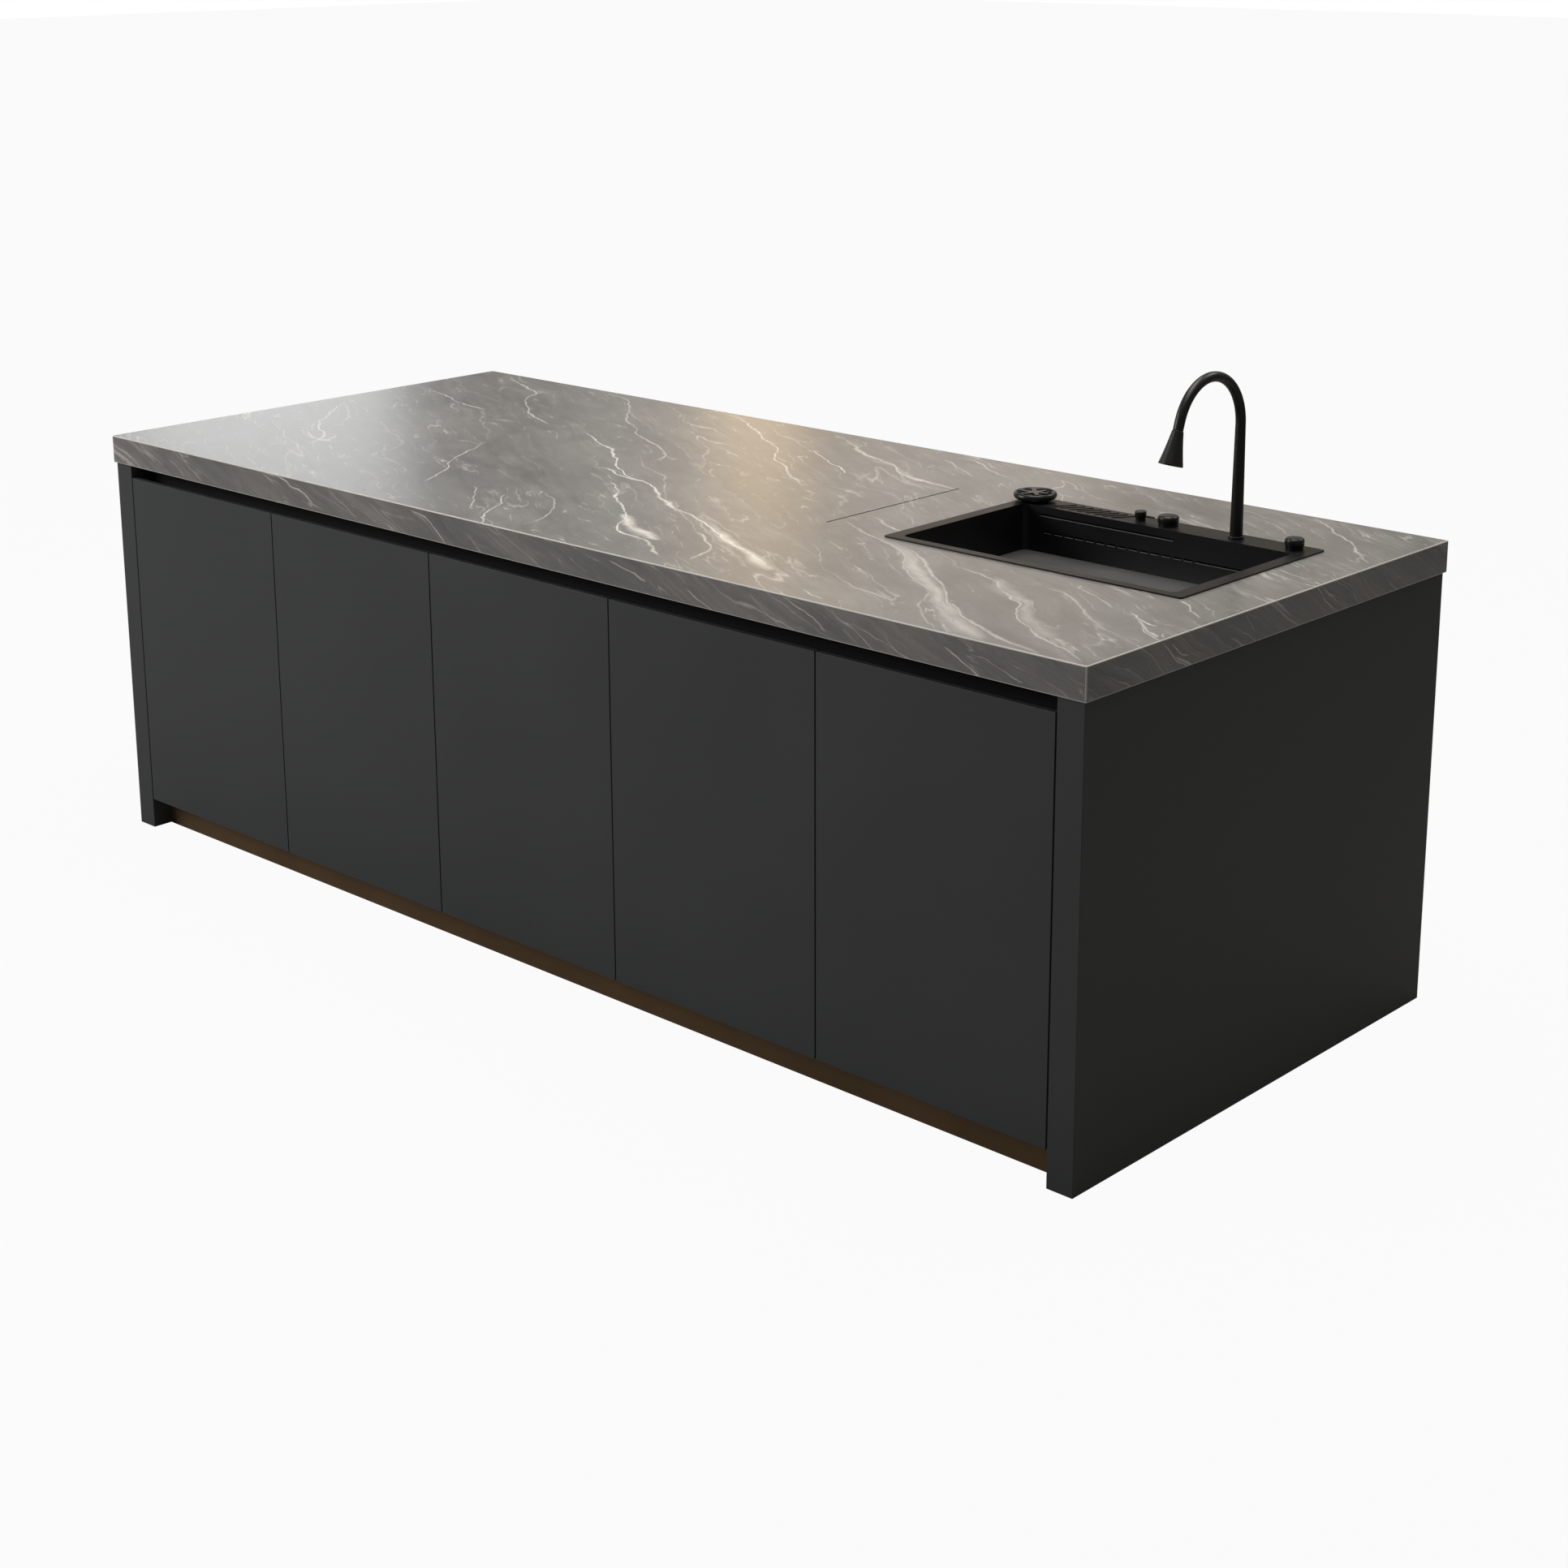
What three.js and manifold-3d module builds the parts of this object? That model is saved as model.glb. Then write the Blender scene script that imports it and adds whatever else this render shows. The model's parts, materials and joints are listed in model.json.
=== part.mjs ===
// Kitchen island unit: a five-door base run under a mitred stone worktop with an inset workstation sink.
// Millimetres. +Z is up, -Y is the door side, +X runs to the right seen from the doors.
// The origin is the middle of the footprint, on the floor.
import * as THREE from 'three';
import { mergeVertices } from 'three/addons/utils/BufferGeometryUtils.js';
import Module from 'manifold-3d';

const wasm = await Module();
wasm.setup();

// ---------------------------------------------------------------- driving dimensions

// Worktop
const WORKTOP_LENGTH = 2660;
const WORKTOP_DEPTH = 1100;
const WORKTOP_HEIGHT = 900;
const SLAB_THICKNESS = 20;
const EDGE_DEPTH = 60;
const OVERHANG = 5;
const MITRE_GLUE = 0.4;
const GROOVE_SINK_GAP = 157;
const GROOVE_BACK_SETBACK = 39;
const GROOVE_LENGTH = 393;
const GROOVE_WIDTH = 4.5;
const GROOVE_DEPTH = 6;

// Carcass
const END_PANEL_THICKNESS = 53.5;
const BOARD_THICKNESS = 18;
const BASE_HEIGHT = 72;
const PLINTH_HEIGHT = 70;
const PLINTH_RECESS = 45;
const PLINTH_THICKNESS = 16;
const STORAGE_DEPTH = 560;
const BACK_BOARD_THICKNESS = 12;
const SHELF_HEIGHT = 440;
const SHELF_SETBACK = 20;
const BACK_PANEL_COUNT = 3;
const BACK_PANEL_THICKNESS = 22;

// Doors
const DOOR_COUNT = 5;
const DOORS_BEFORE_DIVIDERS = [2, 3];
const HINGE_SIDES = ['left', 'right', 'left', 'left', 'right'];
const DOOR_THICKNESS = 22;
const DOOR_GAP = 3;
const BUMPER_GAP = 2;
const DOOR_LAP = 4;
const GRIP_BEVEL = 10;

// Finger channel over the doors
const FINGER_GAP = 28;
const CHANNEL_HEIGHT = 58;
const CHANNEL_DEPTH = 27;
const CHANNEL_WALL = 2;
const CHANNEL_BEND = 12;
const CHANNEL_LIP = 7;
const CHANNEL_FLANGE = 14;

// Concealed hinges
const HINGE_INSET = 100;
const CUP_SETBACK = 22.5;
const CUP_RADIUS = 15.5;
const CUP_DEPTH = 11;
const CUP_FLANGE_RADIUS = 20;
const CUP_FLANGE_THICKNESS = 1;
const CUP_WING_LENGTH = 54;
const CUP_WING_WIDTH = 12;
const ARM_WIDTH = 14;
const ARM_LENGTH = 64;
const ARM_DEPTH = 17;
const ARM_NOSE = 19;
const ARM_FOOT = 6;
const ARM_THROAT = 8;
const ARM_BEND = 6;
const ARM_PLATE_THICKNESS = 3;
const ARM_PLATE_LENGTH = 46;
const ARM_PLATE_WIDTH = 48;

// Sink
const SINK_LENGTH = 660;
const SINK_WIDTH = 450;
const SINK_END_MARGIN = 121;
const SINK_BACK_MARGIN = 225;
const RIM_THICKNESS = 3;
const RIM_LAP = 10;
const RIM_CORNER = 6;
const RIM_SIDE = 27.5;
const RIM_FRONT = 20;
const DECK_WIDTH = 63;
const BOWL_DEPTH = 200;
const BOWL_CORNER = 14;
const SINK_WALL = 2.5;
const LEDGE_WIDTH = 12;
const TRAY_DEPTH = 91;
const TRAY_THICKNESS = 3;
const TRAY_CLEARANCE = 1.2;
const TRAY_SLOT_WIDTH = 3.5;
const TRAY_SLOT_LENGTH = 100;
const TRAY_SLOT_PITCH = 36;
const TRAY_SLOT_ROWS = 2;
const TRAY_SLOT_MARGIN = 22;
const RIB_COUNT = 8;
const RIB_PITCH = 20;
const RIB_LENGTH = 46;
const RIB_WIDTH = 6;
const RIB_HEIGHT = 1.2;
const RIB_ANGLE = 35;

// Waterfall outlet in the bowl's back wall
const FALL_START = 36;
const FALL_SLOT_HEIGHT = 3.5;
const FALL_UPPER_DROP = 17;
const FALL_UPPER_LENGTH = 311;
const FALL_LOWER_DROP = 50;
const FALL_DASH_LENGTH = 19;
const FALL_DASH_PITCH = 25;
const FALL_DASH_COUNT = 14;
const FALL_LOWER_OFFSET = 12;
const FALL_LONG_SLOT = 103;
const DUCT_DEPTH = 10;
const DUCT_WALL = 2;
const DUCT_MARGIN = 14;
const DUCT_HEAD = 7;

// Waste and trap
const DRAIN_RADIUS = 44;
const WASTE_FLANGE_RADIUS = 56;
const WASTE_FLANGE_THICKNESS = 1.5;
const WASTE_BODY_HEIGHT = 62;
const WASTE_POCKET_RADIUS = 40;
const WASTE_POCKET_DEPTH = 34;
const WASTE_FUNNEL = 8;
const WASTE_SEAT_WIDTH = 6;
const PLUG_THICKNESS = 5;
const PLUG_STEM_RADIUS = 4;
const PLUG_STEM_CLEARANCE = 6;
const PLUG_RIM_WIDTH = 2;
const PLUG_DISH_WIDTH = 8;
const PLUG_DOME = 1;
const PIPE_RADIUS = 20;
const TRAP_RADIUS = 36;
const TRAP_LENGTH = 120;
const TRAP_DROP = 90;
const TRAP_CAP_LIP = 2;
const TRAP_CAP_HEIGHT = 22;
const TRAP_SHOULDER = 8;
const TRAP_NUT_LIP = 6;
const TRAP_NUT_HEIGHT = 24;
const PIPE_RUN = 200;
const PIPE_BEND = 55;
const PIPE_FLOOR_GAP = 12;
const PIPE_HOLE_MARGIN = 10;

// Tap
const TAP_END_MARGIN = 169;
const TAP_BASE_RADIUS = 14.5;
const TAP_BASE_HEIGHT = 5;
const TAP_BASE_CHAMFER = 1.5;
const TAP_SHANK_RADIUS = 11;
const TAP_SHANK_LENGTH = 46;
const TAP_NUT_RADIUS = 17;
const TAP_NUT_HEIGHT = 10;
const RISER_FOOT_RADIUS = 12;
const RISER_FOOT_HEIGHT = 4;
const SPOUT_RADIUS = 9.5;
const RISER_HEIGHT = 213;
const GOOSENECK_RADIUS = 99;
const HEAD_TILT = 18;
const SPOUT_END_STRAIGHT = 15;
const SOCKET_ROOF = 1;
const HEAD_LENGTH = 62;
const HEAD_NECK_RADIUS = 10.3;
const HEAD_NOZZLE_RADIUS = 22.5;
const HEAD_FLARE_STOPS = [0.25, 0.5, 0.75, 0.94];
const HEAD_FLARE_BULGE = 0.25;
const NOZZLE_LIP = 4;
const NOZZLE_RECESS = 2.5;
const NOZZLE_CHAMFER = 1;
const SPIGOT_RADIUS = 6.7;
const SPIGOT_LENGTH = 7;
const HOSE_RADIUS = 4.5;

// Deck fittings
const RINSER_START_MARGIN = 28;
const RINSER_RADIUS = 43;
const RINSER_FOOT_RADIUS = 25;
const RINSER_HEIGHT = 18;
const RINSER_DISH_RADIUS = 34;
const RINSER_DISH_DEPTH = 9;
const RINSER_FOOT_HEIGHT = 3;
const RINSER_BELLY_HEIGHT = 5;
const RINSER_RIM_ROUND = 4;
const RINSER_DISH_ROUND = 3;
const PRESS_RADIUS = 27;
const PRESS_THICKNESS = 3;
const PRESS_TRAVEL = 5;
const PRESS_STEM_RADIUS = 5;
const PRESS_STEM_LENGTH = 9;
const PRESS_ARMS = 6;
const PRESS_HUB_SHARE = 0.45;
const DIVERTER_START_MARGIN = 278;
const DIVERTER_RADIUS = 11;
const DIVERTER_HEIGHT = 18.5;
const DIVERTER_LEVER_REACH = 31;
const DIVERTER_LEVER_RADIUS = 2;
const MIXER_START_MARGIN = 341;
const MIXER_RADIUS = 20;
const MIXER_HEIGHT = 19.5;
const VALVE_RADIUS = 17;
const VALVE_HEIGHT = 42;
const WASTE_KNOB_END_MARGIN = 45;
const WASTE_KNOB_RADIUS = 17.8;
const WASTE_KNOB_HEIGHT = 21;
const KNOB_STEM_RADIUS = 5;
const KNOB_STEM_LENGTH = 11;
const KNOB_WAIST = 1.5;
const KNOB_WAIST_TOP_SHARE = 0.25;
const KNOB_BODY_SHARE = 0.4;
const KNOB_SHOULDER = 5;
const POST_SHOULDER = 2.5;
const POINTER_WIDTH = 2;
const POINTER_DEPTH = 1.2;
const POINTER_START_SHARE = 0.45;
const VALVE_CHAMFER = 3;

// Clearances, and how far a cutter runs past the faces it cuts
const SEAT = 0.3;
const RUNNING = 0.3;
const PAST = 1;

// ---------------------------------------------------------------- derived places

const halfLength = WORKTOP_LENGTH / 2;
const halfDepth = WORKTOP_DEPTH / 2;
const carcassTop = WORKTOP_HEIGHT - EDGE_DEPTH;
const slabUnderside = WORKTOP_HEIGHT - SLAB_THICKNESS;
const panelOuterX = halfLength - OVERHANG;
const panelInnerX = panelOuterX - END_PANEL_THICKNESS;
const frontY = -(halfDepth - OVERHANG);
const backY = halfDepth - OVERHANG;
const carcassFrontY = frontY + DOOR_THICKNESS + BUMPER_GAP;
const carcassBackY = backY - BACK_PANEL_THICKNESS;
const storageBackY = carcassFrontY + STORAGE_DEPTH;
const floorTop = BASE_HEIGHT + BOARD_THICKNESS;
const doorBottom = BASE_HEIGHT - DOOR_LAP;
const doorTop = carcassTop - FINGER_GAP;
const doorHeight = doorTop - doorBottom;
const doorWidth = (2 * panelInnerX - (DOOR_COUNT + 1) * DOOR_GAP) / DOOR_COUNT;
const doorPitch = doorWidth + DOOR_GAP;
const doorLeftX = (index) => -panelInnerX + DOOR_GAP + index * doorPitch;
const channelBottom = carcassTop - CHANNEL_HEIGHT;
const channelBackY = carcassFrontY + CHANNEL_DEPTH;

// Uprights stand inside the end panels and behind the gaps that the dividers share.
const dividerCentres = DOORS_BEFORE_DIVIDERS.map((count) => doorLeftX(count) - DOOR_GAP / 2);
const uprightSpans = [
  ['upright_left', -panelInnerX, -panelInnerX + BOARD_THICKNESS],
  ['upright_inner_left', dividerCentres[0] - BOARD_THICKNESS / 2, dividerCentres[0] + BOARD_THICKNESS / 2],
  ['upright_inner_right', dividerCentres[1] - BOARD_THICKNESS / 2, dividerCentres[1] + BOARD_THICKNESS / 2],
  ['upright_right', panelInnerX - BOARD_THICKNESS, panelInnerX],
];
const bays = ['left', 'middle', 'sink'].map((name, i) => ({
  name, from: uprightSpans[i][2], to: uprightSpans[i + 1][1],
}));

// The sink's levels and edges
const rimTop = WORKTOP_HEIGHT + RIM_THICKNESS;
const rim = {
  x0: halfLength - SINK_END_MARGIN - SINK_LENGTH, x1: halfLength - SINK_END_MARGIN,
  y0: halfDepth - SINK_BACK_MARGIN - SINK_WIDTH, y1: halfDepth - SINK_BACK_MARGIN,
};
const bowl = {
  x0: rim.x0 + RIM_SIDE, x1: rim.x1 - RIM_SIDE,
  y0: rim.y0 + RIM_FRONT, y1: rim.y1 - DECK_WIDTH,
};
const lowerBowl = { ...bowl, y0: bowl.y0 + LEDGE_WIDTH, y1: bowl.y1 - LEDGE_WIDTH };
const deckY = (bowl.y1 + rim.y1) / 2;
const rinserX = rim.x0 + RINSER_START_MARGIN;
const diverterX = rim.x0 + DIVERTER_START_MARGIN;
const mixerX = rim.x0 + MIXER_START_MARGIN;
const tapX = rim.x1 - TAP_END_MARGIN;
const wasteKnobX = rim.x1 - WASTE_KNOB_END_MARGIN;
const groove = {
  x0: rim.x0 - GROOVE_SINK_GAP - GROOVE_WIDTH / 2, x1: rim.x0 - GROOVE_SINK_GAP + GROOVE_WIDTH / 2,
  y0: rim.y1 - GROOVE_BACK_SETBACK - GROOVE_LENGTH, y1: rim.y1 - GROOVE_BACK_SETBACK,
};
const bowlFloor = rimTop - BOWL_DEPTH;
const ledgeTop = rimTop - TRAY_DEPTH - TRAY_THICKNESS;
const drainX = (bowl.x0 + bowl.x1) / 2;
const drainY = (bowl.y0 + bowl.y1) / 2;
const wasteBottom = bowlFloor - WASTE_BODY_HEIGHT;
const trapTop = wasteBottom - TRAP_DROP;
const pipeAxisZ = trapTop - TRAP_LENGTH / 4;
const pipeDropY = drainY + TRAP_RADIUS + PIPE_RUN;

// ---------------------------------------------------------------- solids

const radians = THREE.MathUtils.degToRad;

/** A closed geometry becomes a solid. Its faces are turned outwards if they came out inverted. */
function solidOf(geometry) {
  const bare = geometry.clone();
  bare.deleteAttribute('normal');
  bare.deleteAttribute('uv');
  const merged = mergeVertices(bare, 1e-4);
  const corners = merged.attributes.position.array;
  const faces = [];
  let volume = 0;
  const [a, b, c] = [new THREE.Vector3(), new THREE.Vector3(), new THREE.Vector3()];
  for (let i = 0; i < merged.index.count; i += 3) {
    const [ia, ib, ic] = [0, 1, 2].map((k) => merged.index.getX(i + k));
    if (ia === ib || ib === ic || ic === ia) continue;
    faces.push(ia, ib, ic);
    a.fromArray(corners, ia * 3);
    b.fromArray(corners, ib * 3);
    c.fromArray(corners, ic * 3);
    volume += a.dot(b.cross(c));
  }
  if (volume < 0) faces.reverse();
  return new wasm.Manifold(new wasm.Mesh({
    numProp: 3, vertProperties: new Float32Array(corners), triVerts: new Uint32Array(faces),
  }));
}

/** A solid becomes an indexed geometry. */
function geometryOf(solid) {
  const mesh = solid.getMesh();
  const geometry = new THREE.BufferGeometry();
  geometry.setAttribute('position', new THREE.BufferAttribute(mesh.vertProperties, 3));
  geometry.setIndex(new THREE.BufferAttribute(mesh.triVerts, 1));
  geometry.computeVertexNormals();
  return geometry;
}

const joinAll = (solids) => solids.reduce((whole, next) => whole.add(next));
const cutAll = (solid, cutters) => cutters.reduce((rest, cutter) => rest.subtract(cutter), solid);

/** A block between two corners. Its corners are written directly, so equal sizes give equal faces. */
function block(x0, x1, y0, y1, z0, z1) {
  const geometry = new THREE.BoxGeometry(1, 1, 1);
  const position = geometry.attributes.position;
  for (let i = 0; i < position.count; i += 1) {
    const x = position.getX(i) < 0 ? x0 : x1;
    const y = position.getY(i) < 0 ? y0 : y1;
    const z = position.getZ(i) < 0 ? z0 : z1;
    position.setXYZ(i, x, y, z);
  }
  return solidOf(geometry);
}

/** Moves the two ends of an extrusion to exact places along its own axis. */
function setEnds(geometry, low, high) {
  const position = geometry.attributes.position;
  for (let i = 0; i < position.count; i += 1) position.setZ(i, position.getZ(i) < 0.5 ? low : high);
  return geometry;
}

/** Extrudes an XY outline from z0 to z1. */
function prismZ(shape, z0, z1, curveSegments = 8) {
  const geometry = new THREE.ExtrudeGeometry(shape, { depth: 1, bevelEnabled: false, curveSegments });
  return solidOf(setEnds(geometry, z0, z1));
}

/** Extrudes a (y, z) outline along X. */
function prismX(shape, x0, x1, curveSegments = 8) {
  const geometry = new THREE.ExtrudeGeometry(shape, { depth: 1, bevelEnabled: false, curveSegments });
  setEnds(geometry, x0, x1);
  geometry.applyMatrix4(new THREE.Matrix4().set(0, 0, 1, 0, 1, 0, 0, 0, 0, 1, 0, 0, 0, 0, 0, 1));
  return solidOf(geometry);
}

/** Extrudes an (x, z) outline along Y. */
function prismY(shape, y0, y1, curveSegments = 8) {
  const geometry = new THREE.ExtrudeGeometry(shape, { depth: 1, bevelEnabled: false, curveSegments });
  setEnds(geometry, -y1, -y0);
  geometry.applyMatrix4(new THREE.Matrix4().set(1, 0, 0, 0, 0, 0, -1, 0, 0, 1, 0, 0, 0, 0, 0, 1));
  return solidOf(geometry);
}

const polygon = (points) => new THREE.Shape(points.map(([u, v]) => new THREE.Vector2(u, v)));

/** A rectangle with round corners. */
function roundedRectangle({ x0, x1, y0, y1 }, radius) {
  const shape = new THREE.Shape();
  shape.absarc(x1 - radius, y0 + radius, radius, -Math.PI / 2, 0);
  shape.absarc(x1 - radius, y1 - radius, radius, 0, Math.PI / 2);
  shape.absarc(x0 + radius, y1 - radius, radius, Math.PI / 2, Math.PI);
  shape.absarc(x0 + radius, y0 + radius, radius, Math.PI, Math.PI * 1.5);
  return shape;
}

const grow = ({ x0, x1, y0, y1 }, by) => ({ x0: x0 - by, x1: x1 + by, y0: y0 - by, y1: y1 + by });

/** Revolves (radius, height) points about the vertical through (x, y). */
function revolve(points, x = 0, y = 0, segments = 32) {
  const profile = points.map(([radius, height]) => new THREE.Vector2(radius, height));
  const geometry = new THREE.LatheGeometry(profile, segments);
  geometry.rotateX(Math.PI / 2);
  geometry.translate(x, y, 0);
  return solidOf(geometry);
}

/** A plain upright cylinder. */
const rod = (radius, z0, z1, x = 0, y = 0, segments = 24) => (
  revolve([[0, z0], [radius, z0], [radius, z1], [0, z1]], x, y, segments)
);

/** A round section carried along a curve. Its circle has twice as many sides as curveSegments. */
function sweep(curve, radius, steps, curveSegments = 6) {
  const section = new THREE.Shape();
  section.absarc(0, 0, radius, 0, Math.PI * 2);
  const geometry = new THREE.ExtrudeGeometry(section, {
    steps, curveSegments, extrudePath: curve, bevelEnabled: false,
  });
  return solidOf(geometry);
}

// ---------------------------------------------------------------- finishes and assembly

const finishes = {
  stone: { color: 0x8f8a82, roughness: 0.42, metalness: 0 },
  ply: { color: 0xb59a72, roughness: 0.7, metalness: 0 },
  board: { color: 0x5b5a58, roughness: 0.65, metalness: 0 },
  charcoal: { color: 0x35363a, roughness: 0.55, metalness: 0 },
  bronze: { color: 0x3a2f23, roughness: 0.45, metalness: 0.6 },
  blackAluminium: { color: 0x141414, roughness: 0.4, metalness: 0.7 },
  nickel: { color: 0xa7a7a3, roughness: 0.3, metalness: 1 },
  blackSteel: { color: 0x1d1d1e, roughness: 0.35, metalness: 0.8 },
  greySteel: { color: 0x4a4a4b, roughness: 0.4, metalness: 0.9 },
  blackMetal: { color: 0x161616, roughness: 0.3, metalness: 0.6 },
  plastic: { color: 0xd8d8d4, roughness: 0.5, metalness: 0 },
  rubber: { color: 0x202020, roughness: 0.8, metalness: 0 },
};

const island = new THREE.Group();

/** Adds one named piece to a group, in its finish, at its place. */
function place(name, solid, finish, group = island, position = [0, 0, 0]) {
  const mesh = new THREE.Mesh(geometryOf(solid), new THREE.MeshStandardMaterial(finishes[finish]));
  mesh.name = name;
  mesh.position.set(...position);
  group.add(mesh);
  return mesh;
}

/** Adds a nested group. */
function subGroup() {
  const group = new THREE.Group();
  island.add(group);
  return group;
}

// ---------------------------------------------------------------- worktop

/** The slab's edges are cut at 45 degrees underneath, to meet the aprons in a mitre. */
function buildSlab() {
  const [top, under] = [WORKTOP_HEIGHT, slabUnderside];
  const inX = halfLength - SLAB_THICKNESS;
  const inY = halfDepth - SLAB_THICKNESS;
  const alongX = polygon([[-inY, under], [inY, under], [halfDepth, top], [-halfDepth, top]]);
  const alongY = polygon([[-inX, under], [inX, under], [halfLength, top], [-halfLength, top]]);
  const slab = prismX(alongX, -halfLength, halfLength).intersect(prismY(alongY, -halfDepth, halfDepth));
  const opening = roundedRectangle(grow(rim, -RIM_LAP), RIM_CORNER);
  const cutout = prismZ(opening, under - PAST, top + PAST, 4);
  const channel = block(groove.x0, groove.x1, groove.y0, groove.y1, top - GROOVE_DEPTH, top + PAST);
  return cutAll(slab, [cutout, channel]);
}

/** An apron strip: outer face flush with the slab's edge, top mitred, ends mitred to its neighbours. */
function buildApron(side) {
  const alongLength = side === 'front' || side === 'back';
  const sign = side === 'front' || side === 'left' ? -1 : 1;
  const outer = alongLength ? halfDepth : halfLength;
  const reach = alongLength ? halfLength : halfDepth - MITRE_GLUE;
  const inner = outer - SLAB_THICKNESS;
  const [arris, shoulder] = [WORKTOP_HEIGHT - MITRE_GLUE, slabUnderside - MITRE_GLUE];
  const section = polygon([
    [sign * outer, carcassTop], [sign * outer, arris], [sign * inner, shoulder], [sign * inner, carcassTop],
  ]);
  const innerReach = reach - SLAB_THICKNESS;
  const corners = [
    [-reach, sign * outer], [reach, sign * outer], [innerReach, sign * inner], [-innerReach, sign * inner],
  ];
  const plan = polygon(alongLength ? corners : corners.map(([u, v]) => [v, u]));
  const strip = alongLength ? prismX(section, -reach, reach) : prismY(section, -reach, reach);
  return strip.intersect(prismZ(plan, carcassTop - PAST, WORKTOP_HEIGHT + PAST));
}

/** The build-up board that carries the thin slab and gives the edge its depth. */
function buildCore() {
  const reachX = halfLength - SLAB_THICKNESS;
  const reachY = halfDepth - SLAB_THICKNESS;
  const board = block(-reachX, reachX, -reachY, reachY, carcassTop, slabUnderside);
  const opening = roundedRectangle(grow(rim, -RIM_LAP), RIM_CORNER);
  return board.subtract(prismZ(opening, carcassTop - PAST, slabUnderside + PAST, 4));
}

function addWorktop() {
  const worktop = subGroup();
  place('worktop_slab', buildSlab(), 'stone', worktop);
  for (const side of ['front', 'back', 'left', 'right']) {
    place(`worktop_apron_${side}`, buildApron(side), 'stone', worktop);
  }
  place('worktop_core', buildCore(), 'ply', worktop);
}

// ---------------------------------------------------------------- carcass

/** A ladder frame of boards on edge that stands on the floor behind the plinths. */
function buildBaseLadder() {
  const railFront = frontY + PLINTH_RECESS + PLINTH_THICKNESS;
  const railBack = backY - PLINTH_RECESS - PLINTH_THICKNESS;
  const rails = [
    block(-panelInnerX, panelInnerX, railFront, railFront + BOARD_THICKNESS, 0, BASE_HEIGHT),
    block(-panelInnerX, panelInnerX, railBack - BOARD_THICKNESS, railBack, 0, BASE_HEIGHT),
  ];
  const rungs = uprightSpans.map(([, x0, x1]) => block(x0, x1, railFront, railBack, 0, BASE_HEIGHT));
  return joinAll([...rails, ...rungs]);
}

/** An upright with the notch at its top front corner that the finger channel sits in. */
function buildUpright(x0, x1) {
  const board = block(x0, x1, carcassFrontY, carcassBackY, BASE_HEIGHT, carcassTop);
  const notch = block(
    x0 - PAST, x1 + PAST, carcassFrontY - PAST, channelBackY, channelBottom, carcassTop + PAST,
  );
  return board.subtract(notch);
}

/** The sink bay's floor has the hole that the waste pipe goes down through. */
function buildFloor(bay) {
  const board = block(bay.from, bay.to, carcassFrontY, carcassBackY, BASE_HEIGHT, floorTop);
  if (bay.name !== 'sink') return board;
  const radius = PIPE_RADIUS + PIPE_HOLE_MARGIN;
  return board.subtract(rod(radius, BASE_HEIGHT - PAST, floorTop + PAST, drainX, pipeDropY));
}

/** The channel's section: a back wall with a top flange, bent forward into a trough with a short lip. */
function buildFingerChannel() {
  const [back, front] = [channelBackY - SEAT, carcassFrontY];
  const [low, high] = [channelBottom + SEAT, carcassTop];
  const wall = CHANNEL_WALL;
  const section = new THREE.Shape();
  section.moveTo(front, low);
  section.lineTo(back - CHANNEL_BEND, low);
  section.quadraticCurveTo(back, low, back, low + CHANNEL_BEND);
  section.lineTo(back, high);
  section.lineTo(back - CHANNEL_FLANGE, high);
  section.lineTo(back - CHANNEL_FLANGE, high - wall);
  section.lineTo(back - wall, high - wall);
  section.lineTo(back - wall, low + CHANNEL_BEND);
  section.quadraticCurveTo(back - wall, low + wall, back - CHANNEL_BEND, low + wall);
  section.lineTo(front + wall, low + wall);
  section.lineTo(front + wall, low + CHANNEL_LIP);
  section.lineTo(front, low + CHANNEL_LIP);
  section.closePath();
  return prismX(section, -panelInnerX + SEAT, panelInnerX - SEAT);
}

function addCarcass() {
  const carcass = subGroup();
  place('base_ladder', buildBaseLadder(), 'ply', carcass);
  for (const [name, x0, x1] of uprightSpans) place(name, buildUpright(x0, x1), 'board', carcass);
  for (const bay of bays) place(`floor_${bay.name}`, buildFloor(bay), 'board', carcass);
  for (const bay of bays.slice(0, 2)) {
    const backBoard = block(
      bay.from, bay.to, storageBackY, storageBackY + BACK_BOARD_THICKNESS, floorTop, carcassTop,
    );
    place(`back_board_${bay.name}`, backBoard, 'board', carcass);
    const shelf = block(
      bay.from + SEAT, bay.to - SEAT, carcassFrontY + SHELF_SETBACK, storageBackY - SEAT,
      SHELF_HEIGHT, SHELF_HEIGHT + BOARD_THICKNESS,
    );
    place(`shelf_${bay.name}`, shelf, 'board', carcass);
  }
  place('finger_channel', buildFingerChannel(), 'blackAluminium', carcass);
  for (const [name, sign] of [['left', -1], ['right', 1]]) {
    const [x0, x1] = [sign * panelInnerX, sign * panelOuterX].sort((p, q) => p - q);
    place(`end_panel_${name}`, block(x0, x1, frontY, backY, 0, carcassTop), 'charcoal', carcass);
  }
  const plinthFrontY = frontY + PLINTH_RECESS;
  const plinthBackY = backY - PLINTH_RECESS;
  const plinthX = panelInnerX - SEAT;
  const plinths = [
    ['plinth_front', plinthFrontY, plinthFrontY + PLINTH_THICKNESS],
    ['plinth_back', plinthBackY - PLINTH_THICKNESS, plinthBackY],
  ];
  for (const [name, y0, y1] of plinths) {
    place(name, block(-plinthX, plinthX, y0, y1, 0, PLINTH_HEIGHT), 'bronze', carcass);
  }
}

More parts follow.
